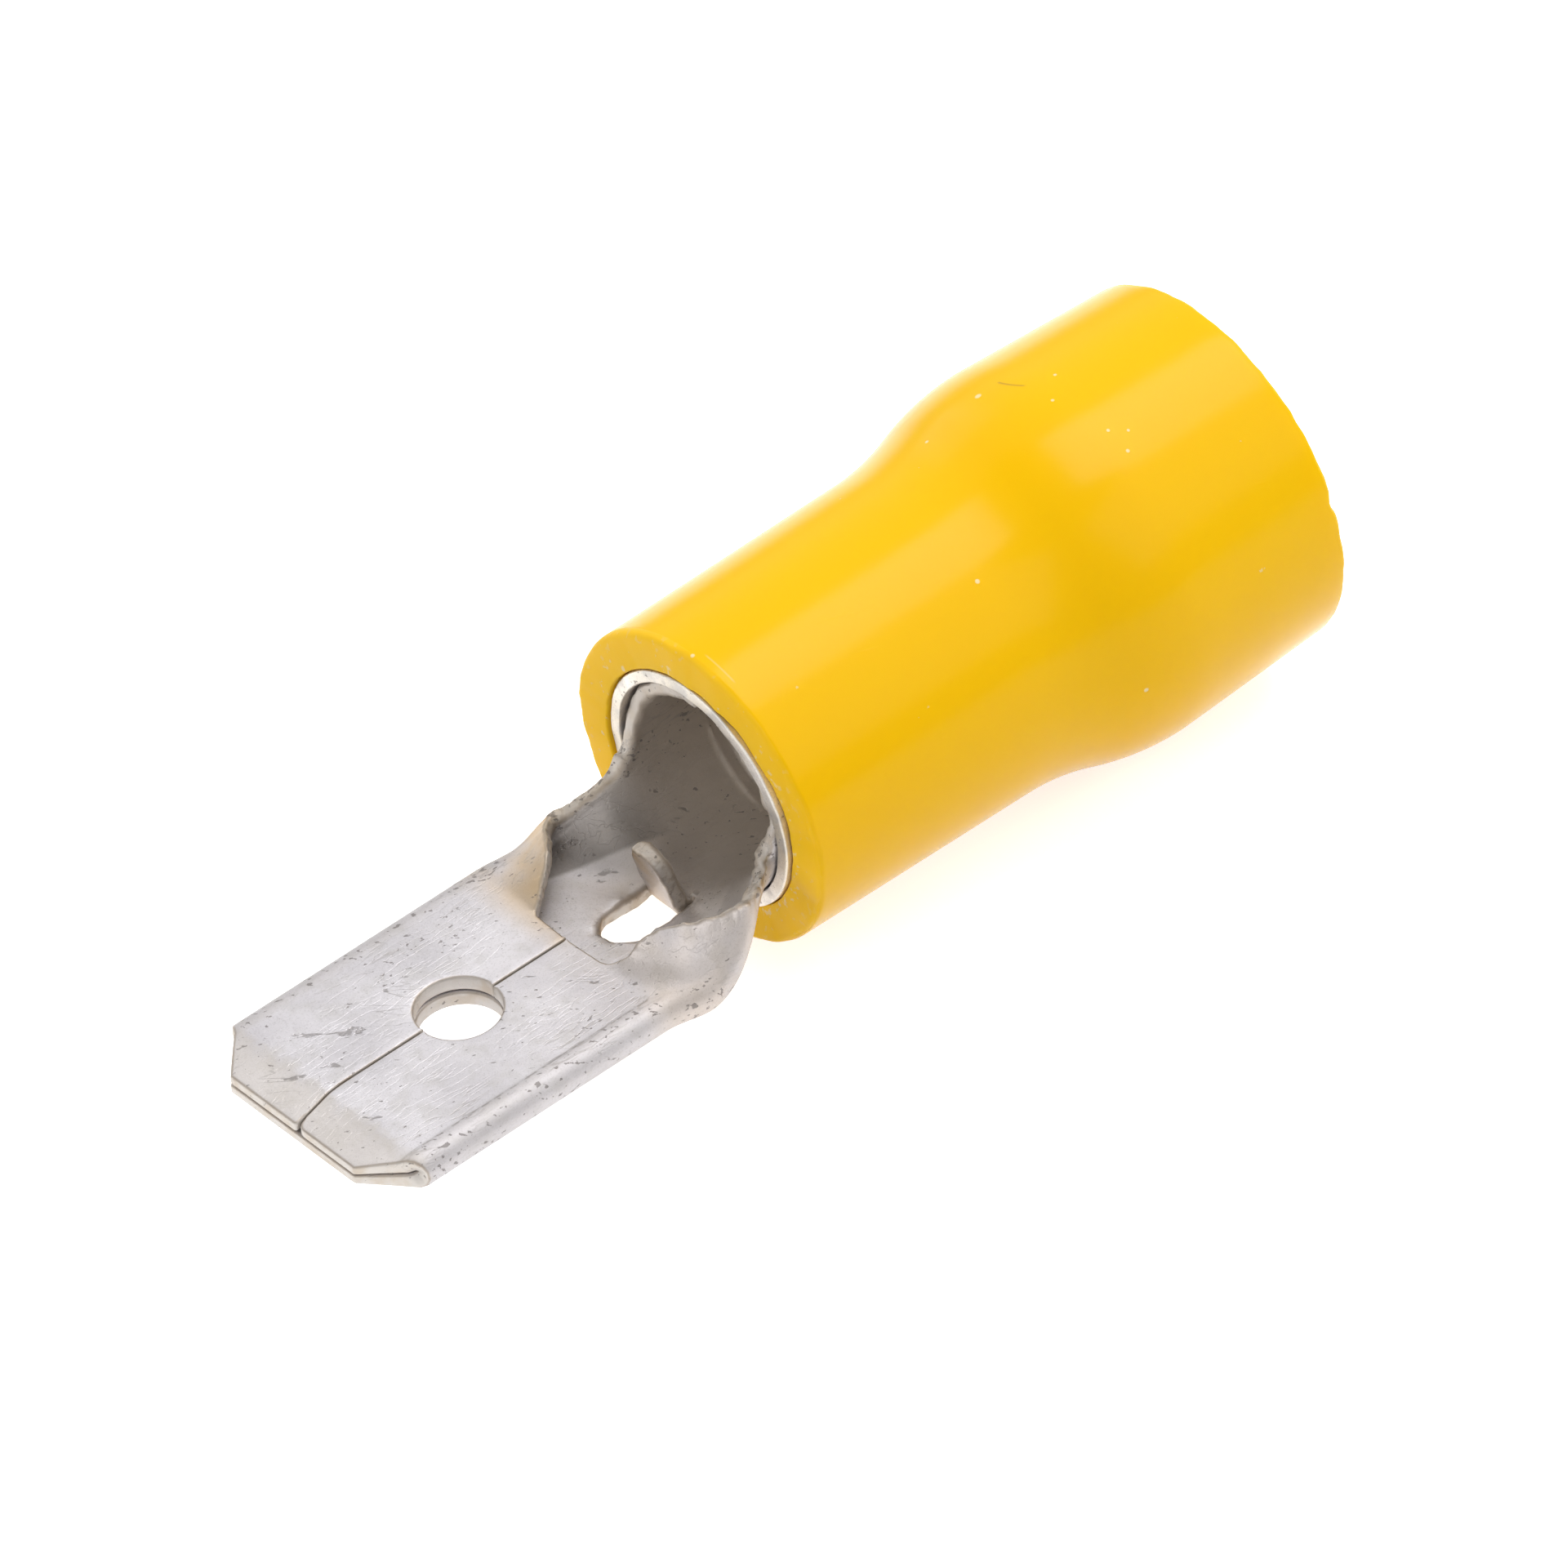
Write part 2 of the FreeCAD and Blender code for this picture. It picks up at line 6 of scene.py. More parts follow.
import bmesh
import bpy
import numpy as np
from mathutils import Matrix, Vector, noise
from mathutils.geometry import delaunay_2d_cdt


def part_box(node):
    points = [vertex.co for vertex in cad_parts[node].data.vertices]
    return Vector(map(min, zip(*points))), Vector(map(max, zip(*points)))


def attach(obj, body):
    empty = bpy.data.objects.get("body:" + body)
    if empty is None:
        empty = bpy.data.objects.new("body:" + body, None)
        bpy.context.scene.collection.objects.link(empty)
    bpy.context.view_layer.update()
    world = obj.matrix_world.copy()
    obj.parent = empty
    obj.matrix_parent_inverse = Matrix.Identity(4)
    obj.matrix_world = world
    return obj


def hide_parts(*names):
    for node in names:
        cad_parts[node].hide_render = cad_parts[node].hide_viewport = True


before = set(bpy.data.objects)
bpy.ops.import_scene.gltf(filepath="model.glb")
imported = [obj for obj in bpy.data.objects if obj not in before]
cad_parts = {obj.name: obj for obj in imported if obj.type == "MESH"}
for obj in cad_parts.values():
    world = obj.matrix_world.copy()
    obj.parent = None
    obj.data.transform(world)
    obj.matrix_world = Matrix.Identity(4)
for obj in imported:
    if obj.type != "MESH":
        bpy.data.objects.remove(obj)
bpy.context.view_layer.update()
MM = 0.001

# Frame places in millimetres: X runs to the tip of the blade, the barrel's axis is at Y 0, Z 0
blade_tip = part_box("terminal_body")[1].x / MM
barrel_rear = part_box("terminal_body")[0].x / MM
barrel_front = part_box("support_sleeve")[1].x / MM
support_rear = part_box("support_sleeve")[0].x / MM
sleeve_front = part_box("insulating_sleeve")[1].x / MM
floor_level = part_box("insulating_sleeve")[0].z / MM
barrel_radius = -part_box("terminal_body")[0].z / MM

# Strip metal of the terminal, millimetres
SHEET = 0.38
LAYER_GAP = 0.04
BLADE_WIDTH = 6.35
FLAP_LENGTH = 7.45
SEAM_GAP = 0.03
BARREL_SEAM = 0.08
HOLE_RADIUS = 0.925
HOLE_FROM_TIP = 4.5
CORNER_CUT = 1.2
NOSE_LENGTH = 1.0
NOSE_DEPTH = 0.16
SLOT_BEHIND = 0.83
SLOT_LENGTH = 1.5
SLOT_WIDTH = 1.04
SLOT_ASIDE = -0.03
TONGUE_GAP = 0.03
TONGUE_LEAN = math.radians(15)
TONGUE_BEND = 0.1
GROOVE_FIRST = 1.75
GROOVE_PITCH = 1.6
GROOVE_WIDTH = 0.34
GROOVE_DEPTH = 0.07
GROOVE_COUNT = 3

underside = -barrel_radius
mid_level = underside + SHEET / 2
mid_radius = barrel_radius - SHEET / 2
fold_radius = (LAYER_GAP + SHEET) / 2
floor_half = BLADE_WIDTH / 2 - SHEET - LAYER_GAP / 2
fold_run = math.pi * fold_radius
flaps_rear = blade_tip - FLAP_LENGTH
throat_length = flaps_rear - barrel_front
seam_at = 2 * floor_half + fold_run
blade_half = seam_at - SEAM_GAP / 2
barrel_half = math.pi * mid_radius - BARREL_SEAM / 2
hole_at = blade_tip - HOLE_FROM_TIP


# Bending of the flat strip
def ease(share):
    """Smooth step from 0 to 1."""
    share = np.clip(share, 0.0, 1.0)
    return share * share * (3 - 2 * share)


def follow(heading, bend, run):
    """Chord across and up of an arc that starts at a heading, and its heading at the end."""
    half = bend * run / 2
    chord = run * np.sinc(half / math.pi)
    return chord * np.cos(heading + half), chord * np.sin(heading + half), heading + 2 * half


UNFOLDING = 1.2
ROLL_FROM = 0.2
THROAT_ASIDE = 0.2
ASIDE_FROM = 0.3
ASIDE_UNTIL = 0.6
FLAT_SHARE = 0.9
FLAT_UNTIL = 0.75


def bend_strip(along, across, off):
    """Where points of the flat strip lie once it is folded and rolled. off is the height above the
    middle of the sheet, on the side that becomes the inside."""
    share = np.clip((flaps_rear - along) / throat_length, 0, 1)
    rolled = ease((share - ROLL_FROM) / (1 - ROLL_FROM))
    fold_angle = math.pi + (fold_run / mid_radius - math.pi) * share ** UNFOLDING
    reach = np.abs(across)
    flat = floor_half * FLAT_SHARE * (1 - ease(share / FLAT_UNTIL))
    stretches = (
        (np.minimum(reach, flat), 0.0),
        (np.clip(reach - flat, 0, floor_half - flat), rolled / mid_radius * floor_half / (floor_half - flat)),
        (np.clip(reach - floor_half, 0, fold_run), fold_angle / fold_run),
        (np.maximum(reach - floor_half - fold_run, 0), rolled ** 2 / mid_radius),
    )
    y, z, heading = np.zeros_like(along), np.full_like(along, mid_level), np.zeros_like(along)
    for run, bend in stretches:
        step_y, step_z, heading = follow(heading, bend, run)
        y, z = y + step_y, z + step_z
    y, z = y - off * np.sin(heading), z + off * np.cos(heading)
    pushed = THROAT_ASIDE * ease(share / ASIDE_FROM) * (1 - ease((share - ASIDE_UNTIL) / (1 - ASIDE_UNTIL)))
    return np.stack([along, np.sign(across) * y + pushed, z], axis=1)


TONGUE_ROOT = flaps_rear - SLOT_BEHIND - SLOT_LENGTH - TONGUE_BEND - SHEET
TONGUE_DRAWN = 1.06


def bend_tongue(along, across, off):
    """The wire-stop tongue: up round a small bend, then straight with a lean to the blade."""
    run = (along - TONGUE_ROOT) * TONGUE_DRAWN
    hub = underside + SHEET + TONGUE_BEND
    radius = TONGUE_BEND + SHEET / 2
    turn = math.pi / 2 - TONGUE_LEAN
    angle = np.clip(run / radius, 0, turn)
    straight = np.maximum(run - radius * turn, 0)
    level = radius - off
    x = TONGUE_ROOT + level * np.sin(angle) + straight * math.sin(TONGUE_LEAN)
    z = hub - level * np.cos(angle) + straight * math.cos(TONGUE_LEAN)
    return np.stack([x, across + THROAT_ASIDE, z], axis=1)


# Outlines on the flat strip, each a closed loop of points (along, across)
POINT_STEP = 0.09


def run_to(points, end):
    """Straight run of even points from the last one, which it leaves as it is, to the end."""
    start = np.array(points[-1])
    count = max(1, round(float(np.linalg.norm(np.array(end) - start)) / POINT_STEP))
    points.extend(tuple(start + (np.array(end) - start) * k / count) for k in range(1, count + 1))


def arc_points(centre, radius, first, last):
    """Points of an arc, both ends included, angles in radians from +along to +across."""
    count = max(4, round(abs(last - first) * radius / POINT_STEP))
    angles = np.linspace(first, last, count + 1)
    return [(centre[0] + radius * math.cos(a), centre[1] + radius * math.sin(a)) for a in angles]


def blade_end(across):
    """How far the strip reaches at the tip, with its corners cut off."""
    reach = abs(across)
    if reach < floor_half:
        y = reach
    elif reach < floor_half + fold_run:
        y = floor_half + fold_radius * math.sin((reach - floor_half) / fold_radius)
    else:
        y = seam_at - reach
    return blade_tip - max(0.0, y - (BLADE_WIDTH / 2 - CORNER_CUT))


# Half width of the throat from the blade to the barrel: share of its length, and millimetres
NEAR_WALL = ((0.0, 4.9), (0.1, 4.83), (0.18, 4.95), (0.25, 4.95), (0.33, 4.77), (0.43, 4.48), (0.54, 4.02),
             (0.64, 3.65), (0.73, 3.37), (0.84, 3.22), (0.93, 3.32), (1.0, 3.75))
FAR_WALL = ((0.0, 5.15), (0.06, 5.05), (0.12, 4.94), (0.18, 4.82), (0.25, 4.67), (0.31, 4.42), (0.37, 4.1),
            (0.43, 3.74), (0.5, 3.42), (0.56, 3.22), (0.62, 3.1), (0.7, 3.02), (0.8, 3.02), (0.87, 3.08),
            (0.91, 3.25), (0.955, 3.65), (1.0, 3.95))
BAY_CORNERS = (0.26, 0.1)
SEAM_STEPS = (0.2, 0.03)
SEAM_STEP_RUN = 0.9
BURRS = (0.0, 0.13)
BURR_AT = 0.88
BURR_SPREAD = 0.028
BARREL_CORNER = 0.3
TIP_CORNERS = (0.22, 0.08)
FLAP_ROOT = 0.04
SHEAR_DEPTH = 0.035
SHEAR_RATES = (17, 41, 73, 131)
STATIONS = 84


def smooth_table(table, shares):
    """Values of a table at given shares, without its kinks."""
    fine = np.linspace(-0.06, 1.06, 300)
    values = np.interp(fine, *zip(*table))
    width = 9
    window = np.hanning(width + 2)[1:-1]
    padded = np.pad(values, width // 2, mode="edge")
    return np.interp(shares, fine, np.convolve(padded, window / window.sum(), "valid"))


def sheared(shares, seed):
    """Small unevenness of a sheared edge."""
    random = np.random.default_rng(seed)
    waves = sum(np.sin(shares * rate + random.uniform(0, 6.3)) / rate ** 0.5 for rate in SHEAR_RATES)
    return SHEAR_DEPTH * waves


def strip_side(wall, seed):
    """One side of the strip from the barrel's rear to the middle of the tip, across positive."""
    points = [(barrel_rear, barrel_half)]
    set_back = SEAM_STEPS[seed]
    run_to(points, (barrel_front - set_back, barrel_half))
    for share in np.linspace(0, 1, 13)[1:]:
        points.append((barrel_front - set_back * (1 - ease(share)), barrel_half - SEAM_STEP_RUN * share))
    shares = np.linspace(1, 0, STATIONS)
    widths = smooth_table(wall, shares) + sheared(shares, seed)
    widths = widths + BURRS[seed] * np.exp(-((shares - BURR_AT) / BURR_SPREAD) ** 2)
    run_to(points, (barrel_front, widths[0] + BARREL_CORNER))
    for corner, away in ((BARREL_CORNER, 1 - shares), (BAY_CORNERS[seed], shares)):
        gone = np.clip(away * throat_length / corner, 0, 1)
        widths = widths + corner * (1 - np.sqrt(1 - (1 - gone) ** 2))
    points.extend((flaps_rear - throat_length * share, half) for share, half in zip(shares[1:], widths[1:]))
    run_to(points, (flaps_rear + FLAP_ROOT, blade_half))
    half_chord = math.sqrt(HOLE_RADIUS ** 2 - (seam_at - blade_half) ** 2)
    run_to(points, (hole_at - half_chord, blade_half))
    start = math.atan2(blade_half - seam_at, -half_chord)
    end = math.atan2(blade_half - seam_at, half_chord)
    points.extend(arc_points((hole_at, seam_at), HOLE_RADIUS, start, end)[1:])
    corner = TIP_CORNERS[seed]
    run_to(points, (blade_end(blade_half) - corner, blade_half))
    centre = (blade_end(blade_half) - corner, blade_half - corner)
    points.extend(arc_points(centre, corner, math.pi / 2, 0)[1:])
    start = blade_half - corner
    count = round(start / POINT_STEP)
    points.extend((blade_end(start * (1 - k / count)), start * (1 - k / count)) for k in range(1, count + 1))
    return points


def outer_loop():
    """Outline of the whole strip."""
    near, far = strip_side(NEAR_WALL, 0), strip_side(FAR_WALL, 1)
    loop = near + [(x, -s) for x, s in reversed(far[:-1])]
    rear = [loop[-1]]
    run_to(rear, loop[0])
    return loop + rear[1:-1]


def hole_loop():
    """Detent hole in the floor of the blade."""
    return arc_points((hole_at, 0), HOLE_RADIUS, 0, math.tau)[:-1]


def lance_loop():
    """Gap round the wire-stop tongue: the slot's edge one way, then the tongue's edge back."""
    slot, tongue = SLOT_WIDTH / 2, SLOT_WIDTH / 2 - TONGUE_GAP
    slot_round = flaps_rear - SLOT_BEHIND - slot
    tongue_round = slot_round - TONGUE_GAP
    points = [(TONGUE_ROOT, SLOT_ASIDE - slot)]
    run_to(points, (slot_round, SLOT_ASIDE - slot))
    points.extend(arc_points((slot_round, SLOT_ASIDE), slot, -math.pi / 2, math.pi / 2)[1:])
    run_to(points, (TONGUE_ROOT, SLOT_ASIDE + slot))
    points.append((TONGUE_ROOT, SLOT_ASIDE + tongue))
    run_to(points, (tongue_round, SLOT_ASIDE + tongue))
    points.extend(arc_points((tongue_round, SLOT_ASIDE), tongue, math.pi / 2, -math.pi / 2)[1:])
    run_to(points, (TONGUE_ROOT, SLOT_ASIDE - tongue))
    return points


def on_tongue(points):
    """True for points of the flat strip that belong to the tongue."""
    tongue = SLOT_WIDTH / 2 - TONGUE_GAP / 2
    inside = (points[:, 0] > TONGUE_ROOT - 1e-6) & (np.abs(points[:, 1] - SLOT_ASIDE) < tongue)
    round_at = flaps_rear - SLOT_BEHIND - SLOT_WIDTH / 2 - TONGUE_GAP / 2
    beyond = points[:, 0] > round_at
    near_end = np.hypot(points[:, 0] - round_at, points[:, 1] - SLOT_ASIDE) < tongue
    return inside & (~beyond | near_end)


def inside_loops(points, loops):
    """Even-odd test of points against closed loops."""
    inside = np.zeros(len(points), bool)
    px, py = points[:, 0][:, None], points[:, 1][:, None]
    for loop in loops:
        a, b = loop, np.roll(loop, -1, axis=0)
        for part in range(0, len(a), 400):
            (ax, ay), (bx, by) = a[part:part + 400].T, b[part:part + 400].T
            spans = (ay > py) != (by > py)
            cross = ax + (py - ay) * (bx - ax) / np.where(by == ay, 1e-12, by - ay)
            inside ^= (np.count_nonzero(spans & (px < cross), axis=1) % 2).astype(bool)
    return inside


def into_metal(loop, sign):
    """Unit normals of a loop that point into the metal."""
    ahead, behind = np.roll(loop, -1, axis=0) - loop, loop - np.roll(loop, 1, axis=0)
    ahead /= np.linalg.norm(ahead, axis=1)[:, None]
    behind /= np.linalg.norm(behind, axis=1)[:, None]
    tangent = ahead + behind
    tangent /= np.maximum(np.linalg.norm(tangent, axis=1), 1e-6)[:, None]
    return np.stack([-tangent[:, 1], tangent[:, 0]], axis=1) * sign


# Rounding of the strip's edges, millimetres
EDGE_INSIDE = 0.07
THROAT_INSIDE = 0.15
EDGE_OUTSIDE = 0.07
THROAT_OUTSIDE = 0.09
SEAM_EDGE = 0.03
CRISP_EDGE = 0.045


def in_throat(loop):
    """1 for points of an outline in the throat and at the barrel's mouth."""
    along = loop[:, 0]
    return ease((along - barrel_front + 0.6) / 0.4) * (1 - ease((along - flaps_rear + 0.25) / 0.3))


def edge_wear(loop):
    """Slow unevenness of the rounding along an outline."""
    along, across = loop[:, 0], loop[:, 1]
    return 1 + 0.16 * np.sin(along * 9.1 + across * 3.7) + 0.12 * np.sin(along * 21.7 - across * 13.3)


def by_barrel_seam(loop):
    """1 for points of an outline at the barrel's seam, where the corners stay crisp."""
    return ease((np.abs(loop[:, 1]) - barrel_half + 0.4) / 0.25)


def inside_rounding(loop):
    """Rounding of the inner edge at each point of an outline."""
    size = EDGE_INSIDE + (THROAT_INSIDE - EDGE_INSIDE) * in_throat(loop) * edge_wear(loop)
    return (size + (CRISP_EDGE - size) * by_barrel_seam(loop))[:, None]


def outside_rounding(loop):
    """Rounding of the outer edge at each point of an outline, sharper along the seams."""
    at_seam = ease((np.abs(loop[:, 1]) - blade_half + 0.1) / 0.08) * (loop[:, 0] < blade_tip - 0.3)
    size = EDGE_OUTSIDE + (THROAT_OUTSIDE - EDGE_OUTSIDE) * in_throat(loop) * edge_wear(loop)
    size = size + (CRISP_EDGE - size) * by_barrel_seam(loop)
    return (size + (SEAM_EDGE - size) * at_seam)[:, None]


def loop_area(loop):
    """Signed area of a loop."""
    x, y = loop[:, 0], loop[:, 1]
    return float(np.sum(x * np.roll(y, -1) - np.roll(x, -1) * y)) / 2


GRID_ALONG = 0.14
GRID_ACROSS = 0.15
GRID_CLEAR = 0.06
FOLD_LINES = 18


def grid_lines():
    """Lines of points across the strip, close together where it folds."""
    flat = np.arange(GRID_ACROSS / 2, floor_half, GRID_ACROSS)
    fold = floor_half + fold_run * np.linspace(-0.06, 1.06, FOLD_LINES)
    coined = floor_half + fold_run + np.array([0.1, 0.13, 0.16, 0.21])
    flap = np.arange(coined[-1] + GRID_ACROSS * 0.8, barrel_half, GRID_ACROSS)
    side = np.concatenate([flat[flat < fold[0] - 0.05], fold, coined, flap])
    return np.concatenate([-side[::-1], side])


def grid_columns():
    """Places along the strip, close together at the grip grooves and the coined nose."""
    columns = list(np.arange(barrel_rear + GRID_ALONG / 2, blade_tip, GRID_ALONG))
    marks = [blade_tip - NOSE_LENGTH]
    for k in range(GROOVE_COUNT):
        front = barrel_front - GROOVE_FIRST - k * GROOVE_PITCH
        marks += [front, front - GROOVE_WIDTH]
    for mark in marks:
        columns = [c for c in columns if abs(c - mark) > 0.07]
        columns += [mark - 0.02, mark + 0.02]
    return np.array(sorted(columns))


def groove_depth(along):
    """Depth of the grip grooves inside the barrel."""
    depth = np.zeros_like(along)
    for k in range(GROOVE_COUNT):
        middle = barrel_front - GROOVE_FIRST - k * GROOVE_PITCH - GROOVE_WIDTH / 2
        depth = np.maximum(depth, ease((GROOVE_WIDTH / 2 + 0.02 - np.abs(along - middle)) / 0.04))
    return depth * GROOVE_DEPTH


COINED_FROM = floor_half + fold_run + 0.1
COINED_DEPTH = 0.022
COINED_EDGE = 0.06
SEAM_LEAN = 0.17
SEAM_LEAN_FROM = 1.5
SEAM_LEAN_RUN = 1.7


def placed(flat, off):
    """Bent place of points of the flat strip; presses the nose and cuts the grip grooves."""
    along, across = flat[:, 0], flat[:, 1]
    pressed = NOSE_DEPTH * np.clip((along - blade_tip + NOSE_LENGTH) / NOSE_LENGTH, 0, 1)
    coined = ease((across - COINED_FROM) / COINED_EDGE) * ease((along - flaps_rear - 0.02) / 0.12)
    pressed = pressed + COINED_DEPTH * coined
    outside = np.clip(0.5 - off / SHEET, 0, 1)
    off = off + pressed * outside - groove_depth(along) * np.clip(0.5 + off / SHEET, 0, 1)
    spots = bend_strip(along, across, off)
    lean = SEAM_LEAN * ease((along - blade_tip + SEAM_LEAN_FROM) / SEAM_LEAN_RUN)
    spots[:, 1] += lean * ease((np.abs(across) - floor_half - fold_run) / floor_half)
    return spots


def terminal_mesh():
    """The whole terminal as one closed sheet with softened edges."""
    loops = [np.array(points, float) for points in (outer_loop(), hole_loop(), lance_loop())]
    loops = [loop if (loop_area(loop) > 0) == (k == 0) else loop[::-1] for k, loop in enumerate(loops)]
    normals = [into_metal(loop, 1) for loop in loops]
    inset = [loop + normal * inside_rounding(loop) for loop, normal in zip(loops, normals)]
    columns, lines = np.meshgrid(grid_columns(), grid_lines(), indexing="ij")
    grid = np.stack([columns.ravel(), lines.ravel()], axis=1)
    grid = grid[inside_loops(grid, inset)]
    edge_points = np.concatenate(inset)
    clear = np.ones(len(grid), bool)
    for part in range(0, len(grid), 2000):
        away = np.linalg.norm(grid[part:part + 2000, None] - edge_points[None], axis=2).min(axis=1)
        clear[part:part + 2000] = away > GRID_CLEAR
    grid = grid[clear]
    flat = np.concatenate([edge_points, grid])
    edges, start = [], 0
    for loop in inset:
        edges += [(start + k, start + (k + 1) % len(loop)) for k in range(len(loop))]
        start += len(loop)
    points, _, faces, origin, _, _ = delaunay_2d_cdt([Vector(p) for p in flat], edges, [], 0, 1e-9, True)
    points = np.array([tuple(p) for p in points])
    keep = [source[0] if source else -1 for source in origin]
    faces = np.array([face[:] for face in faces if len(face) == 3])
    faces = faces[inside_loops(points[faces].mean(axis=1), inset)]
    faces = np.array(keep)[faces]
    faces = faces[(faces >= 0).all(axis=1)]
    tongue = on_tongue(flat)
    return flat, faces, loops, inset, normals, tongue


def bend_all(flat, off, tongue):
    """Bent places of points, the tongue's by its own bend."""
    spots = placed(flat, off)
    lifted = bend_tongue(flat[:, 0], flat[:, 1], off)
    spots[tongue] = lifted[tongue]
    return spots


EDGE_STEPS = 4
CUT_SHOWN = (0.1, 0.4, 0.8, 1.0, 1.0, 1.0, 0.7, 0.2)
INSIDE_SHOWN = (1.0, 0.9, 0.7, 0.5, 0.5, 0.3, 0.1, 0.0)
CRUMPLE = 0.035
CRUMPLE_AT_MOUTH = 0.065
BROAD_DENTS = 2.6
FINE_DENTS = 7.7
CRUMPLE_SEED = 5


def crumple(spots, strip_places, at_edge):
    """Small dents of the sheared edges in the throat, deepest at the near side of the mouth."""
    noise.seed_set(CRUMPLE_SEED)
    waves = np.array([tuple(noise.noise_vector(Vector(spot) * BROAD_DENTS)
                            + 0.6 * noise.noise_vector(Vector(spot) * FINE_DENTS)) for spot in spots])
    along, across = strip_places[:, 0], strip_places[:, 1]
    mouth = ease((across - 2.2) / 0.6) * (1 - ease((along - barrel_front - 1.2) / 0.8))
    depth = at_edge * in_throat(strip_places) * (CRUMPLE + CRUMPLE_AT_MOUTH * mouth)
    return waves * depth[:, None]


def make_terminal():
    """Mesh object of the terminal. Its map follows the flat strip; its attributes tell the cut
    edges and the inside of the sheet."""
    flat, faces, loops, inset, normals, tongue = terminal_mesh()
    total = len(flat)
    inner = bend_all(flat, np.full(total, SHEET / 2), tongue)
    outer_flat = flat.copy()
    start = 0
    for loop, normal in zip(loops, normals):
        outer_flat[start:start + len(loop)] = loop + normal * outside_rounding(loop)
        start += len(loop)
    outer = bend_all(outer_flat, np.full(total, -SHEET / 2), tongue)
    spots, maps = [inner, outer], [flat, outer_flat]
    cut = [np.zeros(total), np.zeros(total)]
    side = [np.ones(total), np.zeros(total)]
    all_faces = [tuple(face) for face in faces] + [tuple(face[::-1] + total) for face in faces]
    start, base = 0, 2 * total
    for loop, normal in zip(loops, normals):
        count = len(loop)
        rows = [np.arange(start, start + count)]
        here = tongue[start:start + count]
        steps, inside, outside = [], inside_rounding(loop), outside_rounding(loop)
        for k in range(1, EDGE_STEPS + 1):
            angle = math.pi / 2 * k / EDGE_STEPS
            depth = inside[:, 0] * (1 - math.cos(angle))
            steps.append((inside * (1 - math.sin(angle)), SHEET / 2 - depth))
        for k in range(EDGE_STEPS):
            angle = math.pi / 2 * k / EDGE_STEPS
            depth = outside[:, 0] * (1 - math.sin(angle)) - SHEET / 2
            steps.append((outside * (1 - math.cos(angle)), depth))
        for (inward, off), cut_shown, inside_shown in zip(steps, CUT_SHOWN, INSIDE_SHOWN):
            ring = loop + normal * inward
            spots.append(bend_all(ring, off, here))
            maps.append(ring)
            cut.append(np.full(count, cut_shown))
            side.append(np.full(count, inside_shown))
            rows.append(np.arange(base, base + count))
            base += count
        rows.append(np.arange(start + total, start + total + count))
        for upper, lower in zip(rows, rows[1:]):
            for k in range(count):
                nxt = (k + 1) % count
                all_faces.append((upper[k], lower[k], lower[nxt], upper[nxt]))
        start += count
    spots, strip_places = np.concatenate(spots), np.concatenate(maps)
    rim = sum(len(loop) for loop in loops)
    at_edge = np.ones(len(spots))
    at_edge[rim:total] = at_edge[total + rim:2 * total] = 0
    spots = spots + crumple(spots, strip_places, at_edge)
    mesh = bpy.data.meshes.new("terminal")
    mesh.from_pydata((spots * MM).tolist(), [], [[int(v) for v in face] for face in all_faces])
    for name, values in (("cut_edge", cut), ("inner_face", side)):
        attribute = mesh.attributes.new(name, "FLOAT", "POINT")
        attribute.data.foreach_set("value", np.concatenate(values).astype(np.float32))
    strip_map = strip_places.astype(np.float32)
    layer = mesh.uv_layers.new(name="strip_map")
    corners = np.empty(len(mesh.loops), np.int32)
    mesh.loops.foreach_get("vertex_index", corners)
    layer.data.foreach_set("uv", strip_map[corners].ravel())
    mesh.validate()
    mesh.shade_smooth()
    return new_object("terminal", mesh)


def new_object(name, data):
    """Object at the origin for a mesh, lamp or camera."""
    made = bpy.data.objects.new(name, data)
    bpy.context.scene.collection.objects.link(made)
    return made


def face_outwards(mesh):
    """Turn a closed mesh's faces outwards if they point in."""
    shape = bmesh.new()
    shape.from_mesh(mesh)
    if shape.calc_volume(signed=True) < 0:
        mesh.flip_normals()
    shape.free()


# Sections of the two sleeves as (along, radius), millimetres
def flare(start, end):
    """Two equal arcs from one straight wall to the other, tangent to both, as points."""
    (x0, r0), (x1, r1) = start, end
    shares = np.linspace(0, 1, 22)[1:-1]
    length, rise = abs(x1 - x0), r1 - r0
    radius = (length ** 2 + rise ** 2) / (4 * abs(rise))
    points = []
    for share in shares:
        gone = share * length
        near = min(gone, length - gone)
        drop = radius - math.sqrt(radius ** 2 - near ** 2)
        height = drop if gone <= length / 2 else abs(rise) - drop
        points.append((x0 + (x1 - x0) * share, r0 + math.copysign(height, rise)))
    return points


def rounded(points, radii, steps=5):
    """Closed outline with its corners rounded where a radius is given."""
    made = []
    count = len(points)
    for k, (point, radius) in enumerate(zip(points, radii)):
        here = np.array(point, float)
        if not radius:
            made.append(tuple(here))
            continue
        before, after = np.array(points[k - 1]) - here, np.array(points[(k + 1) % count]) - here
        before, after = before / np.linalg.norm(before), after / np.linalg.norm(after)
        half = math.acos(float(np.clip(before @ after, -1, 1))) / 2
        centre = here + (before + after) / np.linalg.norm(before + after) * radius / math.sin(half)
        first, last = (here + side * radius / math.tan(half) - centre for side in (before, after))
        for step in range(steps + 1):
            spoke = first * math.cos(math.pi / 2 * step / steps) + last * math.sin(math.pi / 2 * step / steps)
            made.append(tuple(centre + spoke / np.linalg.norm(spoke) * radius))
    return made


def straight_run(start, end, count):
    """Points between two ends, the ends left out."""
    return [tuple(np.array(start) + (np.array(end) - np.array(start)) * k / count) for k in range(1, count)]


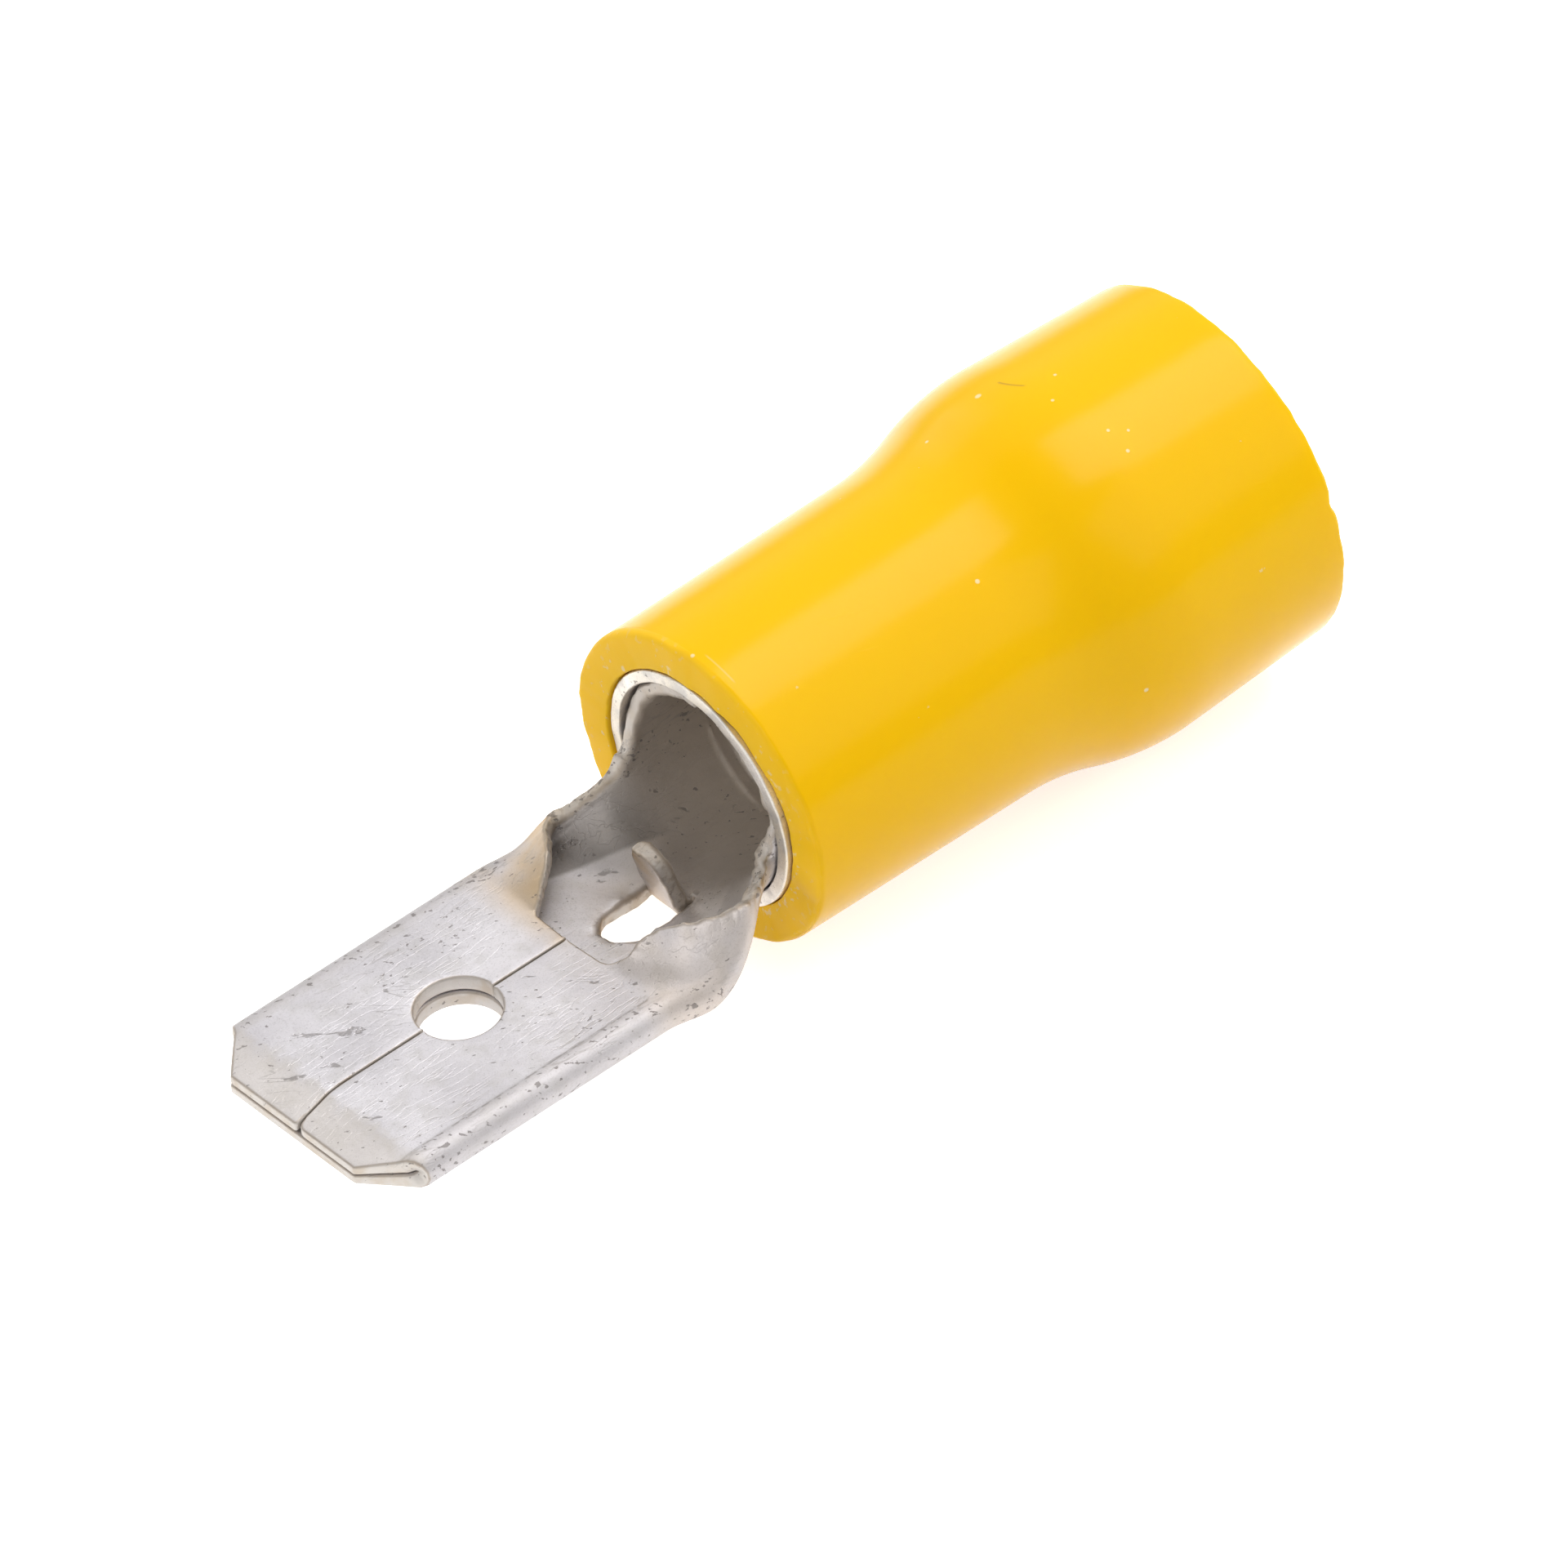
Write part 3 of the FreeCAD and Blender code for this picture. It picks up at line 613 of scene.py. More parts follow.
def sleeve_section(front, neck, bell, rear, bore, corners):
    """Closed section of a sleeve: outer wall to the rear, then the bore back to the front."""
    points, radii = [], []

    def add(new, radius=0.0):
        points.extend(new)
        radii.extend([radius] * len(new))

    outer_front, outer_rear, inner_rear, inner_front = corners
    add([front], outer_front)
    add(straight_run(front, neck, 26) + [neck] + flare(neck, bell) + [bell] + straight_run(bell, rear, 12))
    add([rear], outer_rear)
    bore_front, bore_neck, bore_bell, bore_rear = bore
    add([bore_rear], inner_rear)
    add(straight_run(bore_rear, bore_bell, 8) + [bore_bell] + flare(bore_bell, bore_neck) + [bore_neck])
    add(straight_run(bore_neck, bore_front, 16))
    add([bore_front], inner_front)
    return rounded(points, radii)


# Geometry Nodes: a turned wall from its section
class Fields:
    """Short way to write a node tree as formulas."""

    def __init__(self, tree):
        self.tree = tree

    def node(self, kind, settings=(), inputs=()):
        made = self.tree.nodes.new(kind)
        for name, value in dict(settings).items():
            setattr(made, name, value)
        return self.fill(made, inputs)

    def fill(self, made, inputs):
        """Give a node its inputs, each by name or number, as a value or a socket."""
        for socket, value in dict(inputs).items():
            self.feed(made.inputs[socket], value)
        return made

    def feed(self, socket, value):
        if isinstance(value, bpy.types.NodeSocket):
            self.tree.links.new(value, socket)
        else:
            socket.default_value = value

    def math(self, operation, first, second=0.0):
        return self.node("ShaderNodeMath", {"operation": operation}, {0: first, 1: second}).outputs[0]

    def vector(self, x, y, z):
        return self.node("ShaderNodeCombineXYZ", inputs={"X": x, "Y": y, "Z": z}).outputs[0]

    def band(self, value, low, high):
        """0 below low, 1 above high, smooth between."""
        limits = {"Value": value, "From Min": low, "From Max": high}
        return self.node("ShaderNodeMapRange", {"interpolation_type": "SMOOTHSTEP"}, limits).outputs["Result"]

    def plus(self, first, second):
        return self.math("ADD", first, second)

    def minus(self, first, second):
        return self.math("SUBTRACT", first, second)

    def times(self, *values):
        return reduce(lambda first, second: self.math("MULTIPLY", first, second), values)

    def rest(self, value):
        """What a share leaves of 1."""
        return self.minus(1.0, value)

    def fall(self, value, low, high):
        """1 below low, 0 above high, smooth between."""
        return self.rest(self.band(value, low, high))

    def noise(self, place, scale, detail):
        inputs = {"Vector": place, "Scale": scale, "Detail": detail}
        return self.node("ShaderNodeTexNoise", inputs=inputs).outputs[0]

    def parts(self, vector):
        return self.node("ShaderNodeSeparateXYZ", inputs={"Vector": vector}).outputs


def new_tree(name, kind, inputs, outputs):
    """Node group with named sockets, and its first and last node."""
    tree = bpy.data.node_groups.new(name, kind)
    for direction, sockets in (("INPUT", inputs), ("OUTPUT", outputs)):
        for label, (socket_kind, value) in sockets.items():
            made = tree.interface.new_socket(label, in_out=direction, socket_type=socket_kind)
            if value is not None:
                made.default_value = value
    return tree, tree.nodes.new("NodeGroupInput"), tree.nodes.new("NodeGroupOutput")


NUMBER = "NodeSocketFloat"
GEOMETRY = "NodeSocketGeometry"
END_REACH = 0.4 * MM
NICK_WIDTH = 0.045


def turned_wall_tree():
    """Tree that turns a closed section into a sleeve and makes its cut ends uneven."""
    inputs = {
        "Section": (GEOMETRY, None),
        "Segments": ("NodeSocketInt", 192),
        "Front": (NUMBER, 0.0),
        "Rear": (NUMBER, 0.0),
        "Ragged": (NUMBER, 0.0),
        "Skew": (NUMBER, 0.0),
        "Nick Angle": (NUMBER, 0.0),
        "Nick Depth": (NUMBER, 0.0),
        "Seed": (NUMBER, 0.0),
        "Finish": ("NodeSocketMaterial", None),
    }
    tree, given, result = new_tree("turned_wall", "GeometryNodeTree", inputs, {"Sleeve": (GEOMETRY, None)})
    f = Fields(tree)
    get = given.outputs
    size = f.node("GeometryNodeAttributeDomainSize", {"component": "MESH"}, {"Geometry": get["Section"]})
    count = size.outputs[0]
    columns = f.plus(count, 1.0)
    rows = f.plus(get["Segments"], 1.0)
    grid = f.node("GeometryNodeMeshGrid", inputs={"Vertices X": columns, "Vertices Y": rows}).outputs["Mesh"]
    index = f.node("GeometryNodeInputIndex").outputs[0]
    column = f.math("FLOOR", f.math("DIVIDE", f.plus(index, 0.5), rows))
    row = f.minus(index, f.times(column, rows))
    station = f.math("MODULO", f.plus(column, 0.25), count)
    place = f.node("GeometryNodeInputPosition").outputs[0]
    sample = f.node("GeometryNodeSampleIndex", {"data_type": "FLOAT_VECTOR", "domain": "POINT"},
                    {"Geometry": get["Section"], "Value": place, "Index": f.math("FLOOR", station)})
    taken = f.parts(sample.outputs[0])
    angle = f.times(f.math("DIVIDE", row, get["Segments"]), math.tau)
    y = f.times(taken["Z"], f.math("SINE", angle))
    z = f.times(taken["Z"], f.math("COSINE", angle))
    around = f.vector(taken["X"], y, z)
    turned = f.node("GeometryNodeSetPosition", inputs={"Geometry": grid, "Position": around})
    closed = f.node("GeometryNodeMergeByDistance", inputs={"Geometry": turned.outputs[0], "Distance": 1e-6})
    here = f.parts(place)
    at_front = f.band(here["X"], f.minus(get["Front"], END_REACH), get["Front"])
    at_rear = f.fall(here["X"], get["Rear"], f.plus(get["Rear"], END_REACH))
    noise = f.node("ShaderNodeTexNoise", {"noise_dimensions": "4D"},
                   {"Vector": place, "W": get["Seed"], "Scale": 1300.0, "Detail": 4.0}).outputs[0]
    uneven = f.times(f.minus(noise, 0.5), get["Ragged"])
    skewed = f.times(here["Y"], get["Skew"], at_front)
    turn = f.math("ARCTAN2", here["Y"], here["Z"])
    away = f.math("DIVIDE", f.minus(turn, get["Nick Angle"]), NICK_WIDTH)
    nick = f.math("EXPONENT", f.times(away, away, -1.0))
    nick = f.times(nick, get["Nick Depth"], at_rear)
    ends = f.plus(at_front, at_rear)
    shift = f.plus(f.plus(f.times(uneven, ends), skewed), nick)
    offset = f.vector(shift, 0.0, 0.0)
    moved = f.node("GeometryNodeSetPosition", inputs={"Geometry": closed.outputs[0], "Offset": offset})
    smooth = f.node("GeometryNodeSetShadeSmooth", inputs={"Geometry": moved.outputs[0]})
    real = f.node("GeometryNodeRealizeInstances", inputs={"Geometry": smooth.outputs[0]})
    finish = f.node("GeometryNodeSetMaterial", inputs={"Geometry": real.outputs[0]})
    f.feed(finish.inputs["Material"], get["Finish"])
    tree.links.new(finish.outputs[0], result.inputs[0])
    return tree


def grown(name, section, tree, values):
    """Plain mesh object from a tree and a section, its modifier already taken off."""
    start = bpy.data.meshes.new(f"{name}_section")
    start.from_pydata([(x * MM, 0, r * MM) for x, r in section], [], [])
    source = new_object(f"{name}_start", start)
    modifier = source.modifiers.new(name, "NODES")
    modifier.node_group = tree
    for item in tree.interface.items_tree:
        if item.in_out == "INPUT" and item.name in values:
            modifier[item.identifier] = values[item.name]
    graph = bpy.context.evaluated_depsgraph_get()
    mesh = bpy.data.meshes.new_from_object(source.evaluated_get(graph), depsgraph=graph)
    bpy.data.objects.remove(source)
    mesh.name = name
    face_outwards(mesh)
    return new_object(name, mesh)


SUPPORT_WALL = 0.3
SUPPORT_BORE = barrel_radius + 0.05
FLARE_STEP = 0.73
FIT_GAP = 0.03
RING_BACK = -0.02
INSULATION_BORE = SUPPORT_BORE + SUPPORT_WALL + FIT_GAP
FLARE_FRONT = 7.8
FLARE_REAR = 3.5
BELL_FROM = 4.0
FRONT_WALL = 0.88
NECK_WALL = 0.94
BELL_WALL = 0.83
REAR_WALL = 0.65


def make_support(tree, finish):
    """Metal sleeve round the barrel."""
    bore, entry, front = SUPPORT_BORE, SUPPORT_BORE + FLARE_STEP, sleeve_front - RING_BACK
    outside, bell = bore + SUPPORT_WALL, entry + SUPPORT_WALL
    section = sleeve_section(
        (front, outside), (FLARE_FRONT, outside), (FLARE_REAR, bell), (support_rear, bell),
        ((front, bore), (FLARE_FRONT, bore), (FLARE_REAR, entry), (support_rear, entry)),
        (0.05, 0.05, 0.05, 0.04),
    )
    return grown("support_ring", section, tree, {
        "Segments": 160, "Front": front * MM, "Rear": support_rear * MM, "Ragged": 0.1 * MM,
        "Seed": 3.0, "Finish": finish,
    })


def make_insulation(tree, finish):
    """Yellow sleeve with its bell for the wire's insulation."""
    bore = INSULATION_BORE
    bell_bore = bore + FLARE_STEP
    section = sleeve_section(
        (sleeve_front, bore + FRONT_WALL), (FLARE_FRONT, bore + NECK_WALL),
        (BELL_FROM, bell_bore + BELL_WALL), (0.0, bell_bore + REAR_WALL),
        ((sleeve_front, bore), (FLARE_FRONT, bore), (FLARE_REAR, bell_bore), (0.0, bell_bore)),
        (0.16, 0.1, 0.1, 0.05),
    )
    return grown("insulation", section, tree, {
        "Segments": 224, "Front": sleeve_front * MM, "Rear": 0.0, "Ragged": 0.18 * MM, "Skew": -0.035,
        "Nick Angle": 1.27, "Nick Depth": 0.08 * MM, "Seed": 8.0, "Finish": finish,
    })


# Shader groups
def shader_group(name, inputs, outputs):
    """Shader node group with named numbers in and values out."""
    kinds = {label: (NUMBER, value) for label, value in inputs.items()}
    results = {label: (NUMBER, None) for label in outputs}
    tree, given, result = new_tree(name, "ShaderNodeTree", kinds, results)
    return tree, Fields(tree), given.outputs, result.inputs


def object_place(f):
    """Object coordinates."""
    return f.node("ShaderNodeTexCoord").outputs["Object"]


def grain_group():
    """Fine uneven surface: a height for the bump and a slow change of tone."""
    inputs = {"Fine Scale": 4000.0, "Broad Scale": 300.0}
    tree, f, get, put = shader_group("surface_grain", inputs, ["Height", "Tone"])
    place = object_place(f)
    f.feed(put["Height"], f.noise(place, get["Fine Scale"], 4.0))
    f.feed(put["Tone"], f.noise(place, get["Broad Scale"], 3.0))
    return tree


def turned_and_stretched(f, place, turn, stretch):
    """Place turned about Z, then stretched."""
    turned = f.node("ShaderNodeVectorRotate", {"rotation_type": "Z_AXIS"}, {"Vector": place, "Angle": turn})
    stretched = f.node("ShaderNodeVectorMath", {"operation": "MULTIPLY"}, {0: turned.outputs[0], 1: stretch})
    return stretched.outputs[0]


def worn_marks_group():
    """Small uneven marks, closer together in some patches: 1 in a mark, 0 elsewhere."""
    inputs = {"Scale": 9000.0, "Longer": 1.0, "Turn": 0.0, "Rarity": 0.68, "Patches": 500.0}
    tree, f, get, put = shader_group("worn_marks", inputs, ["Marks"])
    place = object_place(f)
    stretch = f.vector(f.math("DIVIDE", 1.0, get["Longer"]), 1.0, 1.0)
    waves = f.noise(turned_and_stretched(f, place, get["Turn"], stretch), get["Scale"], 3.0)
    patch = f.noise(place, get["Patches"], 2.0)
    level = f.minus(get["Rarity"], f.times(f.minus(patch, 0.5), 0.28))
    f.feed(put["Marks"], f.band(waves, level, f.plus(level, 0.035)))
    return tree


def scratches_group():
    """Thin scratches in one main direction: 1 on a scratch, 0 elsewhere."""
    inputs = {"Scale": 700.0, "Turn": 0.0, "Width": 0.02, "Share": 0.4}
    tree, f, get, put = shader_group("scratches", inputs, ["Lines"])
    place = object_place(f)
    waves = f.noise(turned_and_stretched(f, place, get["Turn"], (0.16, 1.0, 1.0)), get["Scale"], 2.0)
    thin = f.fall(f.math("ABSOLUTE", f.minus(waves, 0.5)), 0.0, get["Width"])
    patch = f.noise(place, 450.0, 2.0)
    shown = f.band(patch, f.minus(0.75, get["Share"]), f.minus(0.9, get["Share"]))
    f.feed(put["Lines"], f.times(thin, shown))
    return tree


def speck_group():
    """One small speck at a place: 1 in it, 0 elsewhere."""
    inputs = {"X": 0.0, "Y": 0.0, "Z": 0.0, "Size": 0.00005}
    tree, f, get, put = shader_group("speck", inputs, ["Speck"])
    centre = f.vector(get["X"], get["Y"], get["Z"])
    away = f.node("ShaderNodeVectorMath", {"operation": "DISTANCE"}, {0: object_place(f), 1: centre})
    speck = f.fall(away.outputs["Value"], f.times(get["Size"], 0.7), f.times(get["Size"], 1.4))
    f.feed(put["Speck"], speck)
    return tree


def hairline_group():
    """Fine line across the top of the sleeve, bowed along it: 1 on the line, 0 elsewhere."""
    inputs = {"At": 0.0, "From Y": 0.0, "To Y": 0.001, "Bow": 0.0, "Width": 0.00002}
    tree, f, get, put = shader_group("hairline", inputs, ["Line"])
    place = f.parts(object_place(f))
    run = f.minus(get["To Y"], get["From Y"])
    share = f.math("DIVIDE", f.minus(place["Y"], get["From Y"]), run)
    bowed = f.minus(get["At"], f.times(get["Bow"], f.times(share, share)))
    off_line = f.math("ABSOLUTE", f.minus(place["X"], bowed))
    line = f.fall(off_line, 0.0, get["Width"])
    ends = f.times(f.band(share, 0.0, 0.15), f.fall(share, 0.85, 1.0))
    f.feed(put["Line"], f.times(line, ends, f.band(place["Z"], 0.0, 0.001)))
    return tree


def new_material(name):
    """Material with its Principled shader."""
    material = bpy.data.materials.new(name)
    material.use_nodes = True
    shader = material.node_tree.nodes["Principled BSDF"]
    return material, shader, Fields(material.node_tree)


def effect(f, tree, **inputs):
    """Outputs of a shader group placed in a material."""
    values = {name.replace("_", " "): value for name, value in inputs.items()}
    return f.node("ShaderNodeGroup", {"node_tree": tree}, values).outputs


def blend_colour(f, share, first, second):
    """Mix of two colours by a share."""
    return f.node("ShaderNodeMix", {"data_type": "RGBA"}, {0: share, 6: first, 7: second}).outputs[2]


def tinned_metal(name, groups, dark, light, cut_tint, mottling):
    """Satin tin plating between two tones, with pits, dents, scratches and bronze stains. Its cut edges
    have a tint and a dark outline. The inside of the barrel is brown and darkened with painted shade,
    and painted shade also darkens a band above the throat's crease and the crease at the nose."""
    material, shader, f = new_material(name)
    grain = effect(f, groups["grain"], Fine_Scale=26000.0, Broad_Scale=520.0)
    mottle = effect(f, groups["grain"], Fine_Scale=7000.0, Broad_Scale=2100.0)
    strip = f.parts(f.node("ShaderNodeUVMap", {"uv_map": "strip_map"}).outputs[0])
    x = f.parts(object_place(f))["X"]
    cut = f.node("ShaderNodeAttribute", {"attribute_name": "cut_edge"}).outputs["Fac"]
    inside = f.node("ShaderNodeAttribute", {"attribute_name": "inner_face"}).outputs["Fac"]
    reach = f.math("ABSOLUTE", strip["Y"])
    flap = floor_half + fold_run
    nose = blade_tip - NOSE_LENGTH

    # Where on the terminal
    on_fold = f.times(f.band(reach, floor_half, floor_half + 0.2), f.fall(reach, flap, flap + 0.25))
    throat = f.times(f.band(x, barrel_front * MM, (barrel_front + 1.0) * MM),
                     f.fall(x, (flaps_rear - 0.4) * MM, (flaps_rear + 0.8) * MM))
    far_side = f.fall(strip["Y"], -0.4, 0.4)
    deep = f.fall(x, (barrel_front - 1.0) * MM, (barrel_front + 3.6) * MM)
    wavering = f.times(f.minus(mottle["Tone"], 0.5), 0.7 * MM)
    tip = f.band(f.plus(x, wavering), (nose - 0.2) * MM, (nose + 0.4) * MM)
    # Painted shade: a darker band along the crease at the top of the coined nose
    nose_crease_shade = f.times(tip, f.fall(x, nose * MM, (blade_tip - 0.5) * MM))
    off_line = f.math("ABSOLUTE", f.minus(strip["Y"], flap + 0.12))
    fold_line = f.times(f.fall(off_line, 0.0, 0.05), f.band(mottle["Height"], 0.4, 0.55),
                        f.band(strip["X"], flaps_rear, flaps_rear + 0.2))
    # Painted shade: a band above the crease between the throat's floor and wall, stronger on the far side
    climb = f.plus(reach, f.times(f.minus(flaps_rear, strip["X"]), 0.42))
    crease_shade_band = f.times(f.band(climb, floor_half - 0.14, floor_half + 0.02),
                     f.fall(climb, floor_half + 0.5, floor_half + 1.7))
    crease_shade_band = f.times(crease_shade_band, f.plus(0.3, f.times(far_side, 0.7)))

    # Marks, stains and painted shade
    rarity = f.minus(0.685, f.times(on_fold, 0.065))
    marks = groups["marks"]
    pits = effect(f, marks, Scale=9000.0, Longer=1.6, Turn=0.5, Rarity=rarity, Patches=700.0)["Marks"]
    dents = effect(f, marks, Scale=3200.0, Longer=3.0, Turn=0.75, Rarity=0.70, Patches=420.0)["Marks"]
    dents = f.times(dents, f.band(mottle["Height"], 0.36, 0.56))
    lines = effect(f, groups["scratches"], Scale=2400.0, Turn=0.8, Width=0.014, Share=0.17)["Lines"]
    rolled = effect(f, groups["scratches"], Scale=4200.0, Turn=0.0, Width=0.03, Share=0.34)["Lines"]
    streaks = f.times(rolled, f.band(reach, flap - 0.3, flap), f.fall(reach, flap + 0.3, flap + 1.3))
    # Deep inside the barrel: a brown tint together with painted shade of the bore, which also dulls the metal
    brown_and_shade_inside = f.times(inside, deep, 0.75)
    bronzed = f.times(throat, f.rest(inside), f.band(grain["Tone"], 0.3, 0.6),
                      f.plus(0.22, f.times(far_side, 0.6)))
    worn = blend_colour(f, f.times(f.band(mottle["Tone"], 0.42, 0.7), 0.6), cut_tint, (0.52, 0.42, 0.30, 1))
    rubbed = f.times(cut, throat, f.band(mottle["Height"], 0.5, 0.6))
    # Painted shade on the inside of the throat above its crease
    painted_throat_shade = f.times(throat, inside, f.rest(cut), crease_shade_band)
    marked = f.math("MAXIMUM", f.times(pits, 0.65), f.times(dents, 0.55))
    scratched = f.times(lines, f.minus(0.45, f.times(brown_and_shade_inside, 0.5)))

    colour = blend_colour(f, f.band(grain["Tone"], 0.3, 0.7), dark, light)
    for share, strength, tint in (
        (f.band(mottle["Tone"], 0.45, 0.7), mottling, (0.50, 0.48, 0.46, 1)),
        (f.band(grain["Height"], 0.5, 0.68), 0.3, (0.38, 0.36, 0.36, 1)),
        (on_fold, 0.3, (0.50, 0.47, 0.45, 1)),
        (fold_line, 0.6, (0.28, 0.25, 0.23, 1)),
        (tip, 0.35, (0.74, 0.67, 0.58, 1)),
        # Painted shade along the nose's crease
        (nose_crease_shade, 0.22, (0.42, 0.38, 0.34, 1)),
        (bronzed, 1.0, (0.62, 0.45, 0.25, 1)),
        (cut, 0.75, worn),
        (f.times(cut, f.rest(cut)), 2.2, (0.34, 0.27, 0.20, 1)),
        (rubbed, 0.4, (0.34, 0.29, 0.24, 1)),
        # Brown tint with painted shade deep inside the barrel
        (brown_and_shade_inside, 1.0, (0.53, 0.45, 0.355, 1)),
        # Painted shade above the throat's crease
        (painted_throat_shade, 0.75, (0.22, 0.195, 0.175, 1)),
        (marked, 1.0, (0.17, 0.15, 0.14, 1)),
        (scratched, 1.0, (0.28, 0.26, 0.25, 1)),
        (streaks, 0.4, (0.34, 0.31, 0.29, 1)),
    ):
        colour = blend_colour(f, f.times(share, strength), colour, tint)
    rough = f.plus(f.plus(0.40, f.times(grain["Tone"], 0.16)), f.times(f.math("MAXIMUM", cut, on_fold), 0.14))
    height = f.minus(f.times(mottle["Height"], 0.7), f.math("MAXIMUM", pits, dents))
    height = f.minus(height, f.times(f.plus(lines, rolled), 0.3))
    height = f.plus(height, f.times(grain["Tone"], 1.8))
    bump = f.node("ShaderNodeBump", inputs={"Strength": 0.45, "Distance": 0.00002, "Height": height})
    f.fill(shader, {
        "Base Color": colour, "Metallic": f.rest(f.times(brown_and_shade_inside, 0.7)), "Roughness": rough,
        "Normal": bump.outputs[0],
    })
    return material


# Pale specks of the sleeve: place and radius, millimetres
SPECK_SIZE = 0.85 * MM
SPECKS = (
    ((13.96, 0.18, 3.69), 0.05), ((6.3, -1.32, 3.72), 0.045), ((8.0, 2.15, 3.08), 0.055),
    ((3.51, -0.4, 4.34), 0.04), ((4.9, -1.26, 4.12), 0.075), ((4.1, 0.2, 4.37), 0.04),
    ((3.74, 1.5, 4.1), 0.04), ((3.38, 1.71, 4.0), 0.035), ((3.71, 2.05, 3.85), 0.045),
    ((5.51, 4.17, -0.28), 0.055),
)


def yellow_vinyl(groups):
    """Glossy yellow plastic, paler and duller at its cut front, with specks, a hair and a scored line."""
    material, shader, f = new_material("yellow_vinyl")
    grain = effect(f, groups["grain"], Fine_Scale=1800.0, Broad_Scale=160.0)
    specks = f.times(effect(f, groups["marks"], Scale=3000.0, Rarity=0.77, Patches=260.0)["Marks"], 0.6)
    for (x, y, z), size in SPECKS:
        speck = effect(f, groups["speck"], X=x * MM, Y=y * MM, Z=z * MM, Size=size * SPECK_SIZE)["Speck"]
        specks = f.math("MAXIMUM", specks, speck)
    hair = effect(f, groups["hairline"], At=4.38 * MM, From_Y=-1.27 * MM, To_Y=-0.55 * MM,
                  Bow=0.25 * MM, Width=0.05 * MM)["Line"]
    scored = effect(f, groups["hairline"], At=13.76 * MM, From_Y=0.3 * MM, To_Y=1.3 * MM,
                    Width=0.035 * MM)["Line"]
    lines = effect(f, groups["scratches"], Scale=900.0, Turn=0.3, Width=0.008, Share=0.12)["Lines"]
    place = f.parts(object_place(f))
    front = f.band(place["X"], (sleeve_front - 0.22) * MM, (sleeve_front - 0.05) * MM)
    crumbs = effect(f, groups["marks"], Scale=5200.0, Rarity=0.62, Patches=420.0)["Marks"]
    radius = f.math("SQRT", f.plus(f.times(place["Y"], place["Y"]), f.times(place["Z"], place["Z"])))
    by_bore = f.fall(radius, (INSULATION_BORE + 0.1) * MM, (INSULATION_BORE + 0.6) * MM)
    crumbs = f.times(crumbs, f.plus(0.25, f.times(by_bore, 0.75)))
    colour = blend_colour(f, grain["Tone"], (0.915, 0.505, 0.0, 1), (0.935, 0.54, 0.0, 1))
    colour = blend_colour(f, front, colour, (0.96, 0.56, 0.015, 1))
    colour = blend_colour(f, f.times(specks, 0.6), colour, (0.95, 0.85, 0.6, 1))
    colour = blend_colour(f, f.times(scored, 0.3), colour, (0.95, 0.8, 0.4, 1))
    colour = blend_colour(f, f.times(hair, 0.85), colour, (0.55, 0.30, 0.02, 1))
    colour = blend_colour(f, f.times(crumbs, front, 0.5), colour, (0.88, 0.74, 0.52, 1))
    rough = f.plus(f.plus(0.16, f.times(grain["Tone"], 0.08)), f.times(front, 0.3))
    height = f.plus(f.times(grain["Height"], 0.3), f.times(specks, 0.6))
    height = f.minus(height, f.times(lines, 0.5))
    bump = f.node("ShaderNodeBump", inputs={"Strength": 0.18, "Distance": 0.00004, "Height": height})
    f.fill(shader, {
        "Base Color": colour, "Roughness": rough, "Specular IOR Level": 0.13, "Subsurface Weight": 0.12,
        "Subsurface Radius": (0.0012, 0.0006, 0.0001), "Subsurface Scale": 1.0, "Normal": bump.outputs[0],
    })
    return material


# Studio
FLOOR_SEEN = 0.7
# Glow of the floor in reflections, painted reflected light, and how it fades with distance
FLOOR_IN_GLOSS = 0.66
FLOOR_GLOSS_LOST = 0.6
FLOOR_NEAR, FLOOR_FAR = 15 * MM, 130 * MM


def studio_floor():
    """Wide white floor at the level that the part stands on. In reflections it glows, brightest near the
    part, as painted reflected light.
    """
    reach = 2.0
    level = floor_level * MM
    corners = [(-reach, -reach, level), (reach, -reach, level), (reach, reach, level), (-reach, reach, level)]
    mesh = bpy.data.meshes.new("studio_floor")
    mesh.from_pydata(corners, [], [(0, 1, 2, 3)])
    material, shader, f = new_material("white_floor")
    f.fill(shader, {"Base Color": (0.9, 0.9, 0.9, 1), "Roughness": 0.9, "Emission Color": (1, 1, 1, 1)})
    rays = f.node("ShaderNodeLightPath").outputs
    away = f.node("ShaderNodeVectorMath", {"operation": "LENGTH"}, {0: object_place(f)}).outputs["Value"]
    # Painted reflected light: in glossy rays the floor glows, strongest near the part and fading with
    # distance
    mirrored = f.minus(FLOOR_IN_GLOSS, f.times(f.band(away, FLOOR_NEAR, FLOOR_FAR), FLOOR_GLOSS_LOST))
    mirrored = f.times(f.math("MAXIMUM", rays["Is Glossy Ray"], rays["Is Transmission Ray"]), mirrored)
    f.feed(shader.inputs["Emission Strength"], f.plus(mirrored, f.times(rays["Is Camera Ray"], FLOOR_SEEN)))
    mesh.materials.append(material)
    floor = new_object("studio_floor", mesh)


SURROUND = 0.36
SURROUND_IN_GLOSS = 0.42


def studio_world():
    """Soft white surroundings, a little brighter where glossy surfaces mirror them."""
    world = bpy.data.worlds.new("studio")
    world.use_nodes = True
    bpy.context.scene.world = world
    tree = world.node_tree
    f = Fields(tree)
    background = tree.nodes["Background"]
    rays = f.node("ShaderNodeLightPath").outputs
    background.inputs["Color"].default_value = (1, 1, 1, 1)
    mirrored = f.times(rays["Is Glossy Ray"], SURROUND_IN_GLOSS - SURROUND)
    seen = f.times(rays["Is Camera Ray"], 1 - SURROUND)
    f.feed(background.inputs["Strength"], f.plus(SURROUND, f.plus(mirrored, seen)))


